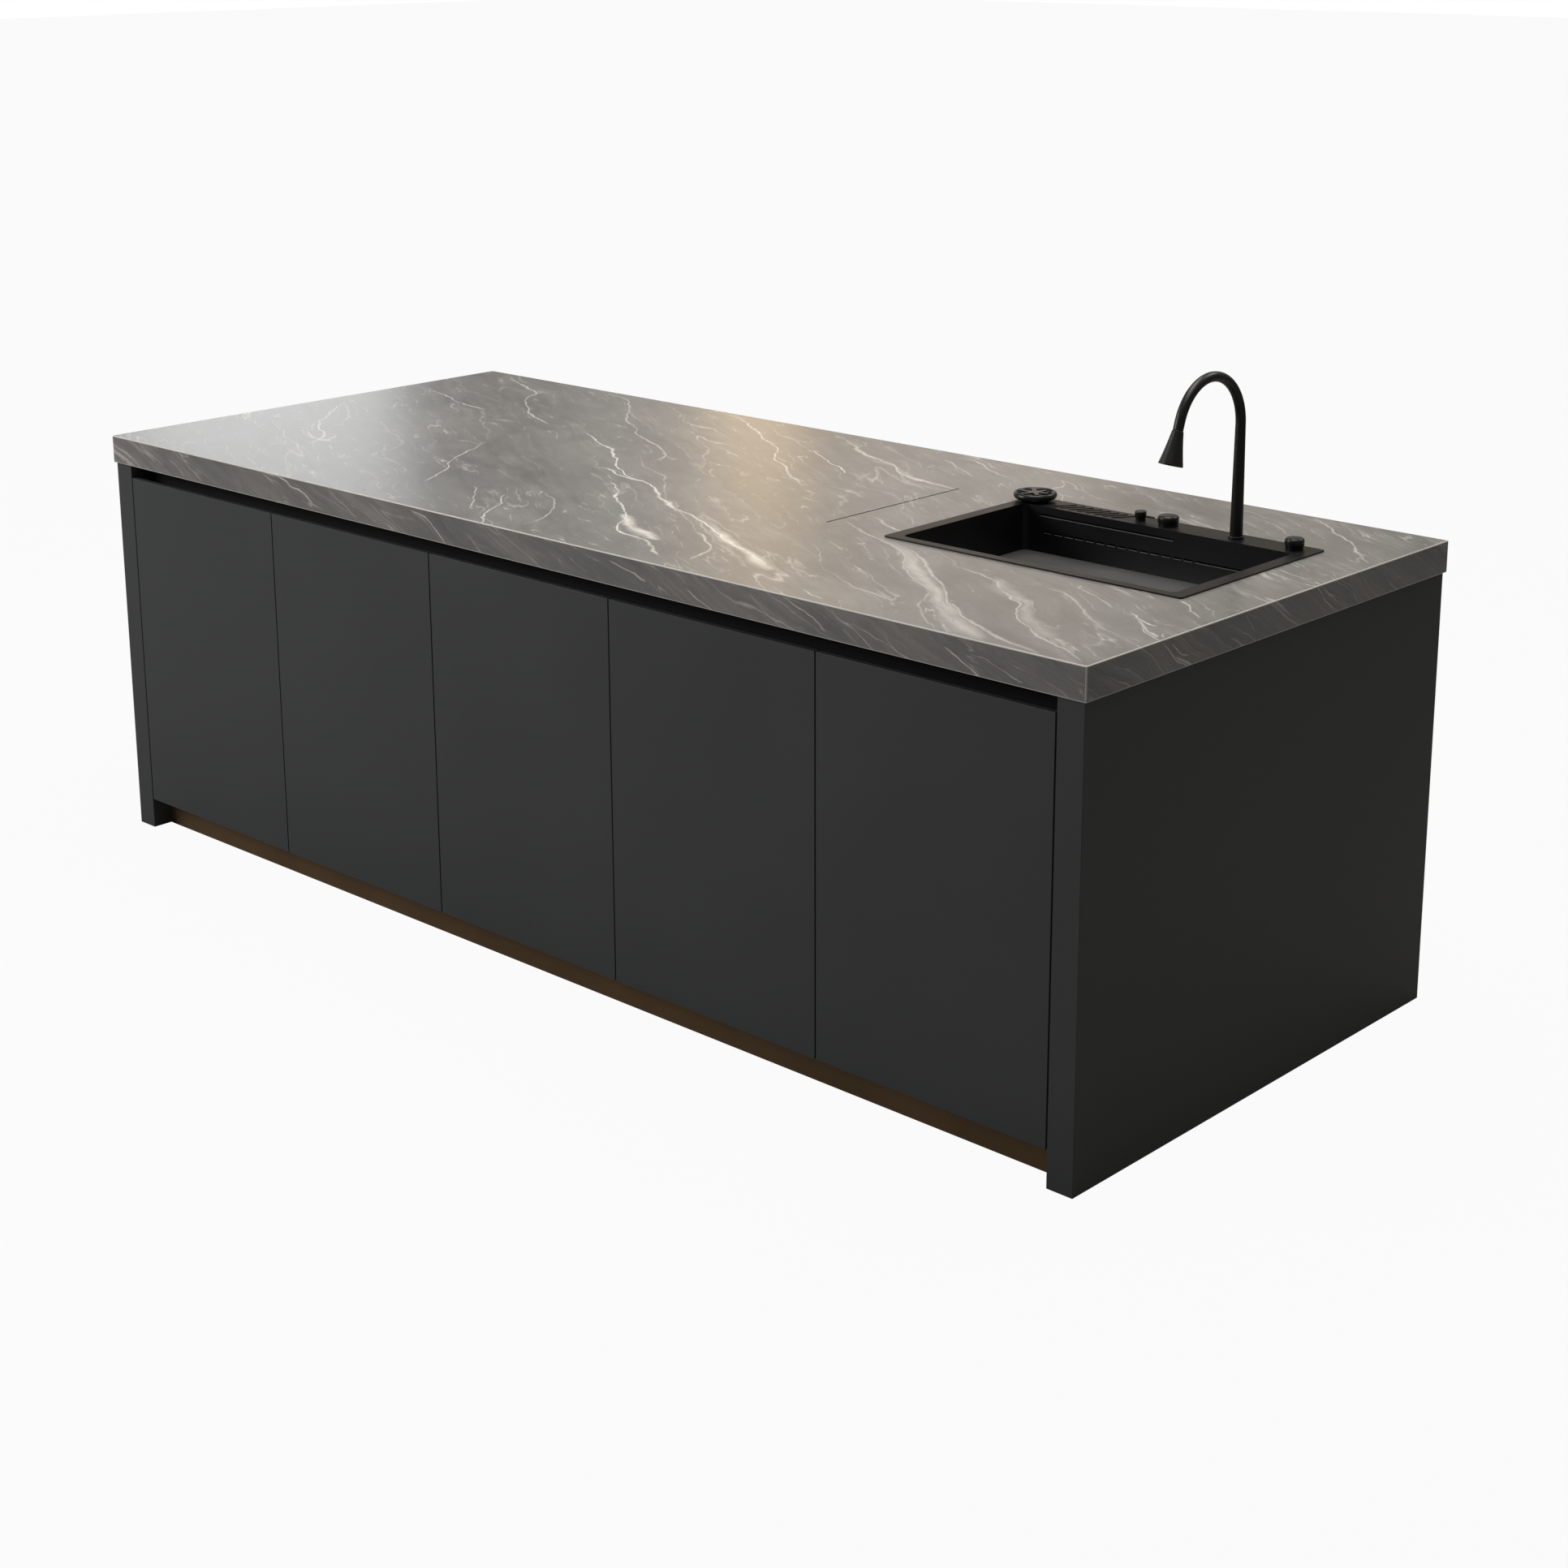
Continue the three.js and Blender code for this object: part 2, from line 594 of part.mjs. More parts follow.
/** Fixed panels close the back, divided like a run of doors. */
function addBackPanels() {
  const width = (2 * panelInnerX - (BACK_PANEL_COUNT + 1) * DOOR_GAP) / BACK_PANEL_COUNT;
  const backs = subGroup();
  for (let i = 0; i < BACK_PANEL_COUNT; i += 1) {
    const x0 = -panelInnerX + DOOR_GAP + i * (width + DOOR_GAP);
    const panel = block(x0, x0 + width, carcassBackY, backY, doorBottom, carcassTop);
    place(`back_panel_${i + 1}`, panel, 'charcoal', backs);
  }
}

// ---------------------------------------------------------------- doors and hinges

/** A door leaf from its own lower left front corner, with the cups of its hinges let into the back. */
function buildDoor(hingeSide) {
  const bevelled = polygon([
    [0, 0], [DOOR_THICKNESS, 0], [DOOR_THICKNESS, doorHeight - GRIP_BEVEL],
    [DOOR_THICKNESS - GRIP_BEVEL, doorHeight], [0, doorHeight],
  ]);
  const leaf = prismX(bevelled, 0, doorWidth);
  const cupX = hingeSide === 'left' ? CUP_SETBACK : doorWidth - CUP_SETBACK;
  const faceY = DOOR_THICKNESS;
  const turned = (radius, y0, y1, z) => {
    const disc = new THREE.Shape();
    disc.absarc(cupX, z, radius, 0, Math.PI * 2);
    return prismY(disc, y0, y1, 8);
  };
  return [HINGE_INSET, doorHeight - HINGE_INSET].reduce((door, z) => {
    const wing = block(
      cupX - CUP_WING_WIDTH / 2, cupX + CUP_WING_WIDTH / 2, faceY - PAST, faceY + CUP_FLANGE_THICKNESS,
      z - CUP_WING_LENGTH / 2, z + CUP_WING_LENGTH / 2,
    );
    const flange = turned(CUP_FLANGE_RADIUS, faceY - PAST, faceY + CUP_FLANGE_THICKNESS, z);
    const cup = turned(CUP_RADIUS, faceY - CUP_DEPTH, faceY + CUP_FLANGE_THICKNESS + PAST, z);
    return door.add(flange).add(wing).subtract(cup);
  }, leaf);
}

/**
 * A hinge arm from the upright's face, the back of the cup's flange and the hinge's height.
 * cupX is how far the cup's centre lies inside that face, and turn is 1 when the door is to the right.
 */
function buildHingeArm(cupX, turn) {
  const outline = new THREE.Shape();
  const [nose, far] = [cupX - CUP_WING_WIDTH / 2, cupX + ARM_NOSE];
  outline.moveTo(turn * nose, 0);
  outline.lineTo(turn * far, 0);
  outline.lineTo(turn * far, ARM_FOOT);
  outline.quadraticCurveTo(turn * ARM_DEPTH, ARM_THROAT, turn * ARM_DEPTH, ARM_LENGTH / 3);
  outline.lineTo(turn * ARM_DEPTH, ARM_LENGTH - ARM_BEND);
  outline.quadraticCurveTo(turn * ARM_DEPTH, ARM_LENGTH, turn * (ARM_DEPTH - ARM_BEND), ARM_LENGTH);
  outline.lineTo(turn * SEAT, ARM_LENGTH);
  outline.lineTo(turn * SEAT, ARM_LENGTH / 3);
  outline.quadraticCurveTo(turn * SEAT, ARM_THROAT, turn * nose, ARM_FOOT);
  outline.closePath();
  const arm = prismZ(outline, -ARM_WIDTH / 2, ARM_WIDTH / 2, 4);
  const [x0, x1] = [turn * SEAT, turn * (SEAT + ARM_PLATE_THICKNESS)].sort((p, q) => p - q);
  const plateStart = ARM_LENGTH - ARM_PLATE_LENGTH;
  const plate = block(x0, x1, plateStart, ARM_LENGTH, -ARM_PLATE_WIDTH / 2, ARM_PLATE_WIDTH / 2);
  return arm.add(plate);
}

function addDoors() {
  const run = subGroup();
  const armY = frontY + DOOR_THICKNESS + CUP_FLANGE_THICKNESS + SEAT;
  HINGE_SIDES.slice(0, DOOR_COUNT).forEach((side, index) => {
    const x0 = doorLeftX(index);
    place(`door_${index + 1}`, buildDoor(side), 'charcoal', run, [x0, frontY, doorBottom]);
    const turn = side === 'left' ? 1 : -1;
    const edgeX = side === 'left' ? x0 : x0 + doorWidth;
    const cupX = edgeX + turn * CUP_SETBACK;
    const faces = uprightSpans.flatMap(([, low, high]) => (side === 'left' ? [high] : [low]));
    const faceX = faces.reduce((best, x) => (Math.abs(x - edgeX) < Math.abs(best - edgeX) ? x : best));
    const arm = buildHingeArm(turn * (cupX - faceX), turn);
    for (const [level, z] of [['lower', HINGE_INSET], ['upper', doorHeight - HINGE_INSET]]) {
      place(`hinge_arm_${index + 1}_${level}`, arm, 'nickel', run, [faceX, armY, doorBottom + z]);
    }
  });
}

// ---------------------------------------------------------------- sink

/** The slots of the waterfall outlet: one long slot above, a dashed row that ends in a long slot below. */
function fallSlots(y0, y1) {
  const half = FALL_SLOT_HEIGHT / 2;
  const slot = (x, length, drop) => block(x, x + length, y0, y1, rimTop - drop - half, rimTop - drop + half);
  const upperX = bowl.x0 + FALL_START;
  const lowerX = upperX + FALL_LOWER_OFFSET;
  const slots = [slot(upperX, FALL_UPPER_LENGTH, FALL_UPPER_DROP)];
  for (let i = 0; i < FALL_DASH_COUNT; i += 1) {
    slots.push(slot(lowerX + i * FALL_DASH_PITCH, FALL_DASH_LENGTH, FALL_LOWER_DROP));
  }
  slots.push(slot(lowerX + FALL_DASH_COUNT * FALL_DASH_PITCH, FALL_LONG_SLOT, FALL_LOWER_DROP));
  return slots;
}

/** Slanting ribs stamped up from the deck between the rinser and the diverter. */
function deckRibs() {
  const ribs = [];
  const middle = (rinserX + RINSER_RADIUS + diverterX - DIVERTER_RADIUS) / 2;
  const slope = Math.tan(radians(RIB_ANGLE));
  const reach = (RIB_LENGTH / 2) * Math.cos(radians(RIB_ANGLE));
  for (let i = 0; i < RIB_COUNT; i += 1) {
    const x = middle + (i - (RIB_COUNT - 1) / 2) * RIB_PITCH;
    const lean = reach * slope;
    const plan = polygon([
      [x - lean - RIB_WIDTH / 2, deckY - reach], [x - lean + RIB_WIDTH / 2, deckY - reach],
      [x + lean + RIB_WIDTH / 2, deckY + reach], [x + lean - RIB_WIDTH / 2, deckY + reach],
    ]);
    ribs.push(prismZ(plan, rimTop - RIM_THICKNESS / 2, rimTop + RIB_HEIGHT));
  }
  return ribs;
}

/** Rim, deck and stepped bowl in one pressing. */
function buildSink() {
  const deck = prismZ(roundedRectangle(rim, RIM_CORNER), WORKTOP_HEIGHT, rimTop, 4);
  const outerCorner = BOWL_CORNER + SINK_WALL;
  const upper = roundedRectangle(grow(bowl, SINK_WALL), outerCorner);
  const lower = roundedRectangle(grow(lowerBowl, SINK_WALL), outerCorner);
  const shell = deck
    .add(prismZ(upper, ledgeTop - SINK_WALL, WORKTOP_HEIGHT + RIM_THICKNESS / 2))
    .add(prismZ(lower, bowlFloor - SINK_WALL, ledgeTop - SINK_WALL / 2));
  const hollow = prismZ(roundedRectangle(bowl, BOWL_CORNER), ledgeTop, rimTop + PAST)
    .add(prismZ(roundedRectangle(lowerBowl, BOWL_CORNER), bowlFloor, ledgeTop + PAST));
  const through = (radius, x) => rod(radius, WORKTOP_HEIGHT - PAST, rimTop + PAST, x, deckY);
  const knobHoles = [diverterX, mixerX, wasteKnobX].map((x) => through(KNOB_STEM_RADIUS + RUNNING, x));
  return joinAll([shell.subtract(hollow), ...deckRibs()])
    .subtract(rod(DRAIN_RADIUS, bowlFloor - SINK_WALL - PAST, bowlFloor + PAST, drainX, drainY, 28))
    .subtract(joinAll(fallSlots(bowl.y1 - PAST, bowl.y1 + SINK_WALL + PAST)))
    .subtract(through(TAP_SHANK_RADIUS + RUNNING, tapX))
    .subtract(through(PRESS_STEM_RADIUS + 2 * RUNNING, rinserX))
    .subtract(joinAll(knobHoles));
}

/** The box behind the bowl's back wall that feeds the slots, open towards them. */
function buildDuct() {
  const [y0, y1] = [bowl.y1 + SINK_WALL, bowl.y1 + SINK_WALL + DUCT_DEPTH];
  const x0 = bowl.x0 + FALL_START - DUCT_MARGIN;
  const x1 = bowl.x0 + FALL_START + FALL_LOWER_OFFSET + FALL_DASH_COUNT * FALL_DASH_PITCH + FALL_LONG_SLOT
    + DUCT_MARGIN;
  const [z0, z1] = [rimTop - FALL_LOWER_DROP - DUCT_HEAD, rimTop - FALL_UPPER_DROP + DUCT_HEAD];
  const pocket = block(
    x0 + DUCT_WALL, x1 - DUCT_WALL, y0 - PAST, y1 - DUCT_WALL, z0 + DUCT_WALL, z1 - DUCT_WALL,
  );
  return block(x0, x1, y0, y1, z0, z1).subtract(pocket);
}

/** The lift-out draining tray that lies on the bowl's ledges. Its rear strip is plain. */
function buildTray() {
  const plan = grow(bowl, -TRAY_CLEARANCE);
  const top = ledgeTop + TRAY_THICKNESS;
  const plate = prismZ(roundedRectangle(plan, BOWL_CORNER - TRAY_CLEARANCE), ledgeTop, top);
  const columns = Math.floor((plan.x1 - plan.x0 - 2 * TRAY_SLOT_MARGIN) / TRAY_SLOT_PITCH);
  const firstX = (plan.x0 + plan.x1) / 2 - (columns * TRAY_SLOT_PITCH) / 2;
  const cutters = [];
  for (let row = 0; row < TRAY_SLOT_ROWS; row += 1) {
    const y0 = lowerBowl.y0 + TRAY_SLOT_MARGIN + row * (TRAY_SLOT_LENGTH + TRAY_SLOT_MARGIN);
    for (let i = 0; i <= columns; i += 1) {
      const x = firstX + i * TRAY_SLOT_PITCH - TRAY_SLOT_WIDTH / 2;
      cutters.push(block(x, x + TRAY_SLOT_WIDTH, y0, y0 + TRAY_SLOT_LENGTH, ledgeTop - PAST, top + PAST));
    }
  }
  return plate.subtract(joinAll(cutters));
}

/** The waste's body hangs in the drain hole by its flange and opens into the tail below. */
function buildWasteBody() {
  const flangeTop = bowlFloor + WASTE_FLANGE_THICKNESS;
  const seat = bowlFloor - PLUG_THICKNESS;
  const wall = DRAIN_RADIUS - RUNNING;
  const tail = PIPE_RADIUS - SINK_WALL;
  const pocketBottom = bowlFloor - WASTE_POCKET_DEPTH;
  const seatRadius = WASTE_POCKET_RADIUS - WASTE_SEAT_WIDTH;
  return revolve([
    [tail, wasteBottom], [PIPE_RADIUS, wasteBottom], [PIPE_RADIUS, pocketBottom - WASTE_FUNNEL],
    [wall, pocketBottom + WASTE_FUNNEL / 2], [wall, bowlFloor], [WASTE_FLANGE_RADIUS, bowlFloor],
    [WASTE_FLANGE_RADIUS - WASTE_FLANGE_THICKNESS, flangeTop], [WASTE_POCKET_RADIUS, flangeTop],
    [WASTE_POCKET_RADIUS, seat], [seatRadius, seat], [seatRadius, pocketBottom + WASTE_FUNNEL],
    [tail, pocketBottom], [tail, wasteBottom],
  ], drainX, drainY, 28);
}

/** The plug that the knob on the deck lifts: a dished disc on a stem. */
function buildPlug() {
  const under = bowlFloor - PLUG_THICKNESS;
  const stemEnd = bowlFloor - WASTE_POCKET_DEPTH + PLUG_STEM_CLEARANCE;
  const edge = WASTE_POCKET_RADIUS - RUNNING;
  return revolve([
    [0, stemEnd], [PLUG_STEM_RADIUS, stemEnd], [PLUG_STEM_RADIUS, under], [edge, under],
    [edge, bowlFloor - PLUG_DOME], [edge - PLUG_RIM_WIDTH, bowlFloor],
    [edge - PLUG_DISH_WIDTH, bowlFloor - PLUG_DOME], [0, bowlFloor + PLUG_DOME],
  ], drainX, drainY, 28);
}

/** A bottle trap: tail, bottle with its cap, and a pipe that runs back and down through the floor. */
function buildTrap() {
  const bottleBottom = trapTop - TRAP_LENGTH;
  const capTop = bottleBottom + TRAP_CAP_HEIGHT;
  const capRadius = TRAP_RADIUS + TRAP_CAP_LIP;
  const nutBottom = wasteBottom - TRAP_NUT_HEIGHT;
  const nutRadius = PIPE_RADIUS + TRAP_NUT_LIP;
  const bottle = revolve([
    [0, bottleBottom], [TRAP_RADIUS - TRAP_SHOULDER, bottleBottom], [capRadius, bottleBottom + TRAP_SHOULDER],
    [capRadius, capTop], [TRAP_RADIUS, capTop + TRAP_CAP_LIP], [TRAP_RADIUS, trapTop - TRAP_SHOULDER],
    [TRAP_RADIUS - TRAP_SHOULDER, trapTop], [PIPE_RADIUS, trapTop], [PIPE_RADIUS, nutBottom - TRAP_CAP_LIP],
    [nutRadius, nutBottom], [nutRadius, wasteBottom], [0, wasteBottom],
  ], drainX, drainY, 28);
  const route = new THREE.CurvePath();
  const bendStart = new THREE.Vector3(drainX, pipeDropY - PIPE_BEND, pipeAxisZ);
  const corner = new THREE.Vector3(drainX, pipeDropY, pipeAxisZ);
  const bendEnd = new THREE.Vector3(drainX, pipeDropY, pipeAxisZ - PIPE_BEND);
  route.add(new THREE.LineCurve3(new THREE.Vector3(drainX, drainY, pipeAxisZ), bendStart));
  route.add(new THREE.QuadraticBezierCurve3(bendStart, corner, bendEnd));
  route.add(new THREE.LineCurve3(bendEnd, new THREE.Vector3(drainX, pipeDropY, PIPE_FLOOR_GAP)));
  return bottle.add(sweep(route, PIPE_RADIUS, 18));
}

function addSink() {
  const sink = subGroup();
  place('sink', buildSink(), 'blackSteel', sink);
  place('waterfall_duct', buildDuct(), 'blackSteel', sink);
  place('draining_tray', buildTray(), 'greySteel', sink);
  place('waste_body', buildWasteBody(), 'nickel', sink);
  place('waste_plug', buildPlug(), 'greySteel', sink);
  place('trap', buildTrap(), 'plastic', sink);
}

// ---------------------------------------------------------------- tap

/** Collar on the deck, shank through it and the nut that clamps it from below. */
function buildTapBase() {
  const nutTop = WORKTOP_HEIGHT;
  const collarTop = rimTop + TAP_BASE_HEIGHT;
  return revolve([
    [0, rimTop - TAP_SHANK_LENGTH], [TAP_SHANK_RADIUS, rimTop - TAP_SHANK_LENGTH],
    [TAP_SHANK_RADIUS, nutTop - TAP_NUT_HEIGHT], [TAP_NUT_RADIUS, nutTop - TAP_NUT_HEIGHT],
    [TAP_NUT_RADIUS, nutTop], [TAP_SHANK_RADIUS, nutTop], [TAP_SHANK_RADIUS, rimTop],
    [TAP_BASE_RADIUS, rimTop], [TAP_BASE_RADIUS, collarTop - TAP_BASE_CHAMFER],
    [TAP_BASE_RADIUS - TAP_BASE_CHAMFER, collarTop], [0, collarTop],
  ], tapX, deckY);
}

/** Tapered riser and gooseneck. The end has the socket that the spray head docks in. */
function buildSpout() {
  const foot = rimTop + TAP_BASE_HEIGHT + SEAT;
  const bendZ = rimTop + RISER_HEIGHT;
  const riser = revolve([
    [0, foot], [RISER_FOOT_RADIUS, foot], [RISER_FOOT_RADIUS, foot + RISER_FOOT_HEIGHT],
    [SPOUT_RADIUS, bendZ], [0, bendZ],
  ], tapX, deckY, 24);
  const tilt = radians(HEAD_TILT);
  const centreY = deckY - GOOSENECK_RADIUS;
  const arcPoint = (angle) => new THREE.Vector3(
    tapX, centreY + GOOSENECK_RADIUS * Math.cos(angle), bendZ + GOOSENECK_RADIUS * Math.sin(angle),
  );
  class Gooseneck extends THREE.Curve {
    getPoint(t, target = new THREE.Vector3()) {
      return target.copy(arcPoint(t * (Math.PI - tilt)));
    }
  }
  const neck = sweep(new Gooseneck(), SPOUT_RADIUS, 24, 8);
  const local = new THREE.Matrix4().makeRotationX(-tilt).setPosition(headSeat);
  const along = (radius, z0, z1) => {
    const profile = [[0, z0], [radius, z0], [radius, z1], [0, z1]].map(([r, h]) => new THREE.Vector2(r, h));
    return solidOf(new THREE.LatheGeometry(profile, 20).rotateX(Math.PI / 2).applyMatrix4(local));
  };
  const end = along(SPOUT_RADIUS, 0, SPOUT_END_STRAIGHT + PAST);
  const socket = along(SPIGOT_RADIUS + RUNNING, -PAST, SPOUT_END_STRAIGHT - SOCKET_ROOF);
  return riser.add(neck).add(end).subtract(socket);
}

/** Where the spout ends and the spray head begins. */
const headSeat = (() => {
  const tilt = radians(HEAD_TILT);
  const arcEndY = deckY - GOOSENECK_RADIUS - GOOSENECK_RADIUS * Math.cos(tilt);
  const arcEndZ = rimTop + RISER_HEIGHT + GOOSENECK_RADIUS * Math.sin(tilt);
  return new THREE.Vector3(
    tapX, arcEndY - SPOUT_END_STRAIGHT * Math.sin(tilt), arcEndZ - SPOUT_END_STRAIGHT * Math.cos(tilt),
  );
})();

/** The cone of the spray head, with its spigot above and its spray plate let in below. */
function buildSprayHead() {
  const [neck, nozzle, length] = [HEAD_NECK_RADIUS, HEAD_NOZZLE_RADIUS, HEAD_LENGTH];
  const plate = -length + NOZZLE_RECESS;
  const spread = (t) => (1 - HEAD_FLARE_BULGE) * t + HEAD_FLARE_BULGE * t * t;
  const flare = HEAD_FLARE_STOPS.map((t) => [
    neck + (nozzle - neck) * spread(t), -SEAT - (length - SEAT) * t,
  ]).reverse();
  return revolve([
    [0, plate], [nozzle - NOZZLE_LIP, plate], [nozzle - NOZZLE_LIP, -length],
    [nozzle - NOZZLE_CHAMFER, -length], ...flare, [neck, -SEAT], [SPIGOT_RADIUS, -SEAT],
    [SPIGOT_RADIUS, SPIGOT_LENGTH], [0, SPIGOT_LENGTH],
  ]);
}

/** The stretch of pull-out hose that stands in the socket above the docked head. */
function buildHose() {
  return rod(HOSE_RADIUS, SPIGOT_LENGTH + SEAT, SPOUT_END_STRAIGHT - SOCKET_ROOF - SEAT, 0, 0, 12);
}

function addTap() {
  const tap = subGroup();
  place('tap_base', buildTapBase(), 'blackMetal', tap);
  place('tap_spout', buildSpout(), 'blackMetal', tap);
  const tilted = new THREE.Group();
  tilted.position.copy(headSeat);
  tilted.rotation.x = -radians(HEAD_TILT);
  tap.add(tilted);
  place('spray_head', buildSprayHead(), 'blackMetal', tilted);
  place('spray_hose', buildHose(), 'rubber', tilted);
}

// ---------------------------------------------------------------- deck fittings

/** A knob from the deck up: stem, slightly waisted side and round shoulder. */
function knobProfile(radius, height, shoulder) {
  const points = [[0, -KNOB_STEM_LENGTH], [KNOB_STEM_RADIUS, -KNOB_STEM_LENGTH], [KNOB_STEM_RADIUS, SEAT]];
  points.push([radius - KNOB_WAIST, SEAT], [radius - KNOB_WAIST, height * KNOB_WAIST_TOP_SHARE]);
  points.push([radius, height * KNOB_BODY_SHARE]);
  const steps = 4;
  for (let i = 0; i <= steps; i += 1) {
    const angle = (i / steps) * (Math.PI / 2);
    points.push([
      radius - shoulder + shoulder * Math.cos(angle), height - shoulder + shoulder * Math.sin(angle),
    ]);
  }
  points.push([0, height]);
  return points;
}

/** A round knob with a shallow pointer groove across the front of its top. */
function buildTurnKnob(radius, height) {
  const knob = revolve(knobProfile(radius, height, KNOB_SHOULDER), 0, 0, 32);
  return knob.subtract(block(
    -POINTER_WIDTH / 2, POINTER_WIDTH / 2, -radius - PAST, -radius * POINTER_START_SHARE,
    height - POINTER_DEPTH, height + PAST,
  ));
}

/** The diverter is a slim post with a lever that points along the deck. */
function buildDiverter() {
  const post = revolve(knobProfile(DIVERTER_RADIUS, DIVERTER_HEIGHT, POST_SHOULDER), 0, 0, 24);
  const bar = new THREE.Shape();
  bar.absarc(0, DIVERTER_HEIGHT / 2, DIVERTER_LEVER_RADIUS, 0, Math.PI * 2);
  const lever = new THREE.ExtrudeGeometry(bar, { depth: 1, bevelEnabled: false, curveSegments: 8 });
  setEnds(lever, 0, DIVERTER_LEVER_REACH);
  lever.applyMatrix4(new THREE.Matrix4().set(0, 0, 1, 0, 1, 0, 0, 0, 0, 1, 0, 0, 0, 0, 0, 1));
  return post.add(solidOf(lever));
}

/** The rinser's bowl stands on a narrow foot and flares to a thick round rim around its dish. */
function buildRinserBody() {
  const top = RINSER_HEIGHT;
  const floor = top - RINSER_DISH_DEPTH;
  const bore = PRESS_STEM_RADIUS + RUNNING;
  const [round, dish] = [RINSER_RIM_ROUND, RINSER_DISH_ROUND];
  return revolve([
    [bore, 0], [RINSER_FOOT_RADIUS, 0], [RINSER_FOOT_RADIUS + RINSER_FOOT_HEIGHT, RINSER_FOOT_HEIGHT],
    [RINSER_RADIUS - round, RINSER_BELLY_HEIGHT], [RINSER_RADIUS, top / 2],
    [RINSER_RADIUS - round / 4, top - round * 0.75], [RINSER_RADIUS - round, top],
    [RINSER_DISH_RADIUS + dish / 2, top - dish / 4], [RINSER_DISH_RADIUS, top - dish],
    [RINSER_DISH_RADIUS - dish, floor + dish / 2], [RINSER_DISH_RADIUS - 2 * dish, floor],
    [bore, floor], [bore, 0],
  ], 0, 0, 32);
}

/** The star that a glass is pressed down on, and the stem that it slides by. */
function buildPress() {
  const under = RINSER_HEIGHT - RINSER_DISH_DEPTH + PRESS_TRAVEL + SEAT;
  const star = new THREE.Shape();
  for (let i = 0; i < 4 * PRESS_ARMS; i += 1) {
    const angle = ((i + 0.5) / (4 * PRESS_ARMS)) * Math.PI * 2;
    const radius = i % 4 < 2 ? PRESS_RADIUS : PRESS_RADIUS * PRESS_HUB_SHARE;
    const [u, v] = [radius * Math.cos(angle), radius * Math.sin(angle)];
    if (i === 0) star.moveTo(u, v);
    else star.lineTo(u, v);
  }
  star.closePath();
  const stem = rod(PRESS_STEM_RADIUS, under - PRESS_STEM_LENGTH, under + PRESS_THICKNESS / 2, 0, 0, 20);
  return prismZ(star, under, under + PRESS_THICKNESS).add(stem);
}

/** The mixing valve hangs under the deck below its knob. */
function buildValve() {
  const top = WORKTOP_HEIGHT;
  const bore = KNOB_STEM_RADIUS + RUNNING;
  return revolve([
    [0, top - VALVE_HEIGHT], [VALVE_RADIUS - VALVE_CHAMFER, top - VALVE_HEIGHT],
    [VALVE_RADIUS, top - VALVE_HEIGHT + VALVE_CHAMFER], [VALVE_RADIUS, top], [bore, top],
    [bore, top - KNOB_STEM_LENGTH], [0, top - KNOB_STEM_LENGTH],
  ], mixerX, deckY, 24);
}

function addDeckFittings() {
  const fittings = subGroup();
  place('rinser_body', buildRinserBody(), 'blackMetal', fittings, [rinserX, deckY, rimTop]);
  place('rinser_press', buildPress(), 'blackMetal', fittings, [rinserX, deckY, rimTop]);
  place('diverter_knob', buildDiverter(), 'blackMetal', fittings, [diverterX, deckY, rimTop]);
  const mixerKnob = buildTurnKnob(MIXER_RADIUS, MIXER_HEIGHT);
  place('mixer_knob', mixerKnob, 'blackMetal', fittings, [mixerX, deckY, rimTop]);
  const wasteKnob = buildTurnKnob(WASTE_KNOB_RADIUS, WASTE_KNOB_HEIGHT);
  place('waste_knob', wasteKnob, 'blackMetal', fittings, [wasteKnobX, deckY, rimTop]);
  place('mixer_valve', buildValve(), 'nickel', fittings);
}

// ---------------------------------------------------------------- the island

addWorktop();
addCarcass();
addBackPanels();
addDoors();
addSink();
addTap();
addDeckFittings();

export default island;
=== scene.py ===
"""The looks of a kitchen island unit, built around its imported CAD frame.

The island stands on the floor at the origin, doors towards -Y, length along X, Z up, all in metres.
Each sub-assembly is a class. Each finish is a frozen dataclass that makes its own procedural material.
"""

import json
import logging
import math
from abc import ABC, abstractmethod
from dataclasses import dataclass
from enum import Enum
from typing import Any, Iterable, NamedTuple, Sequence

import bmesh
import bpy
import numpy as np
from mathutils import Matrix, Vector

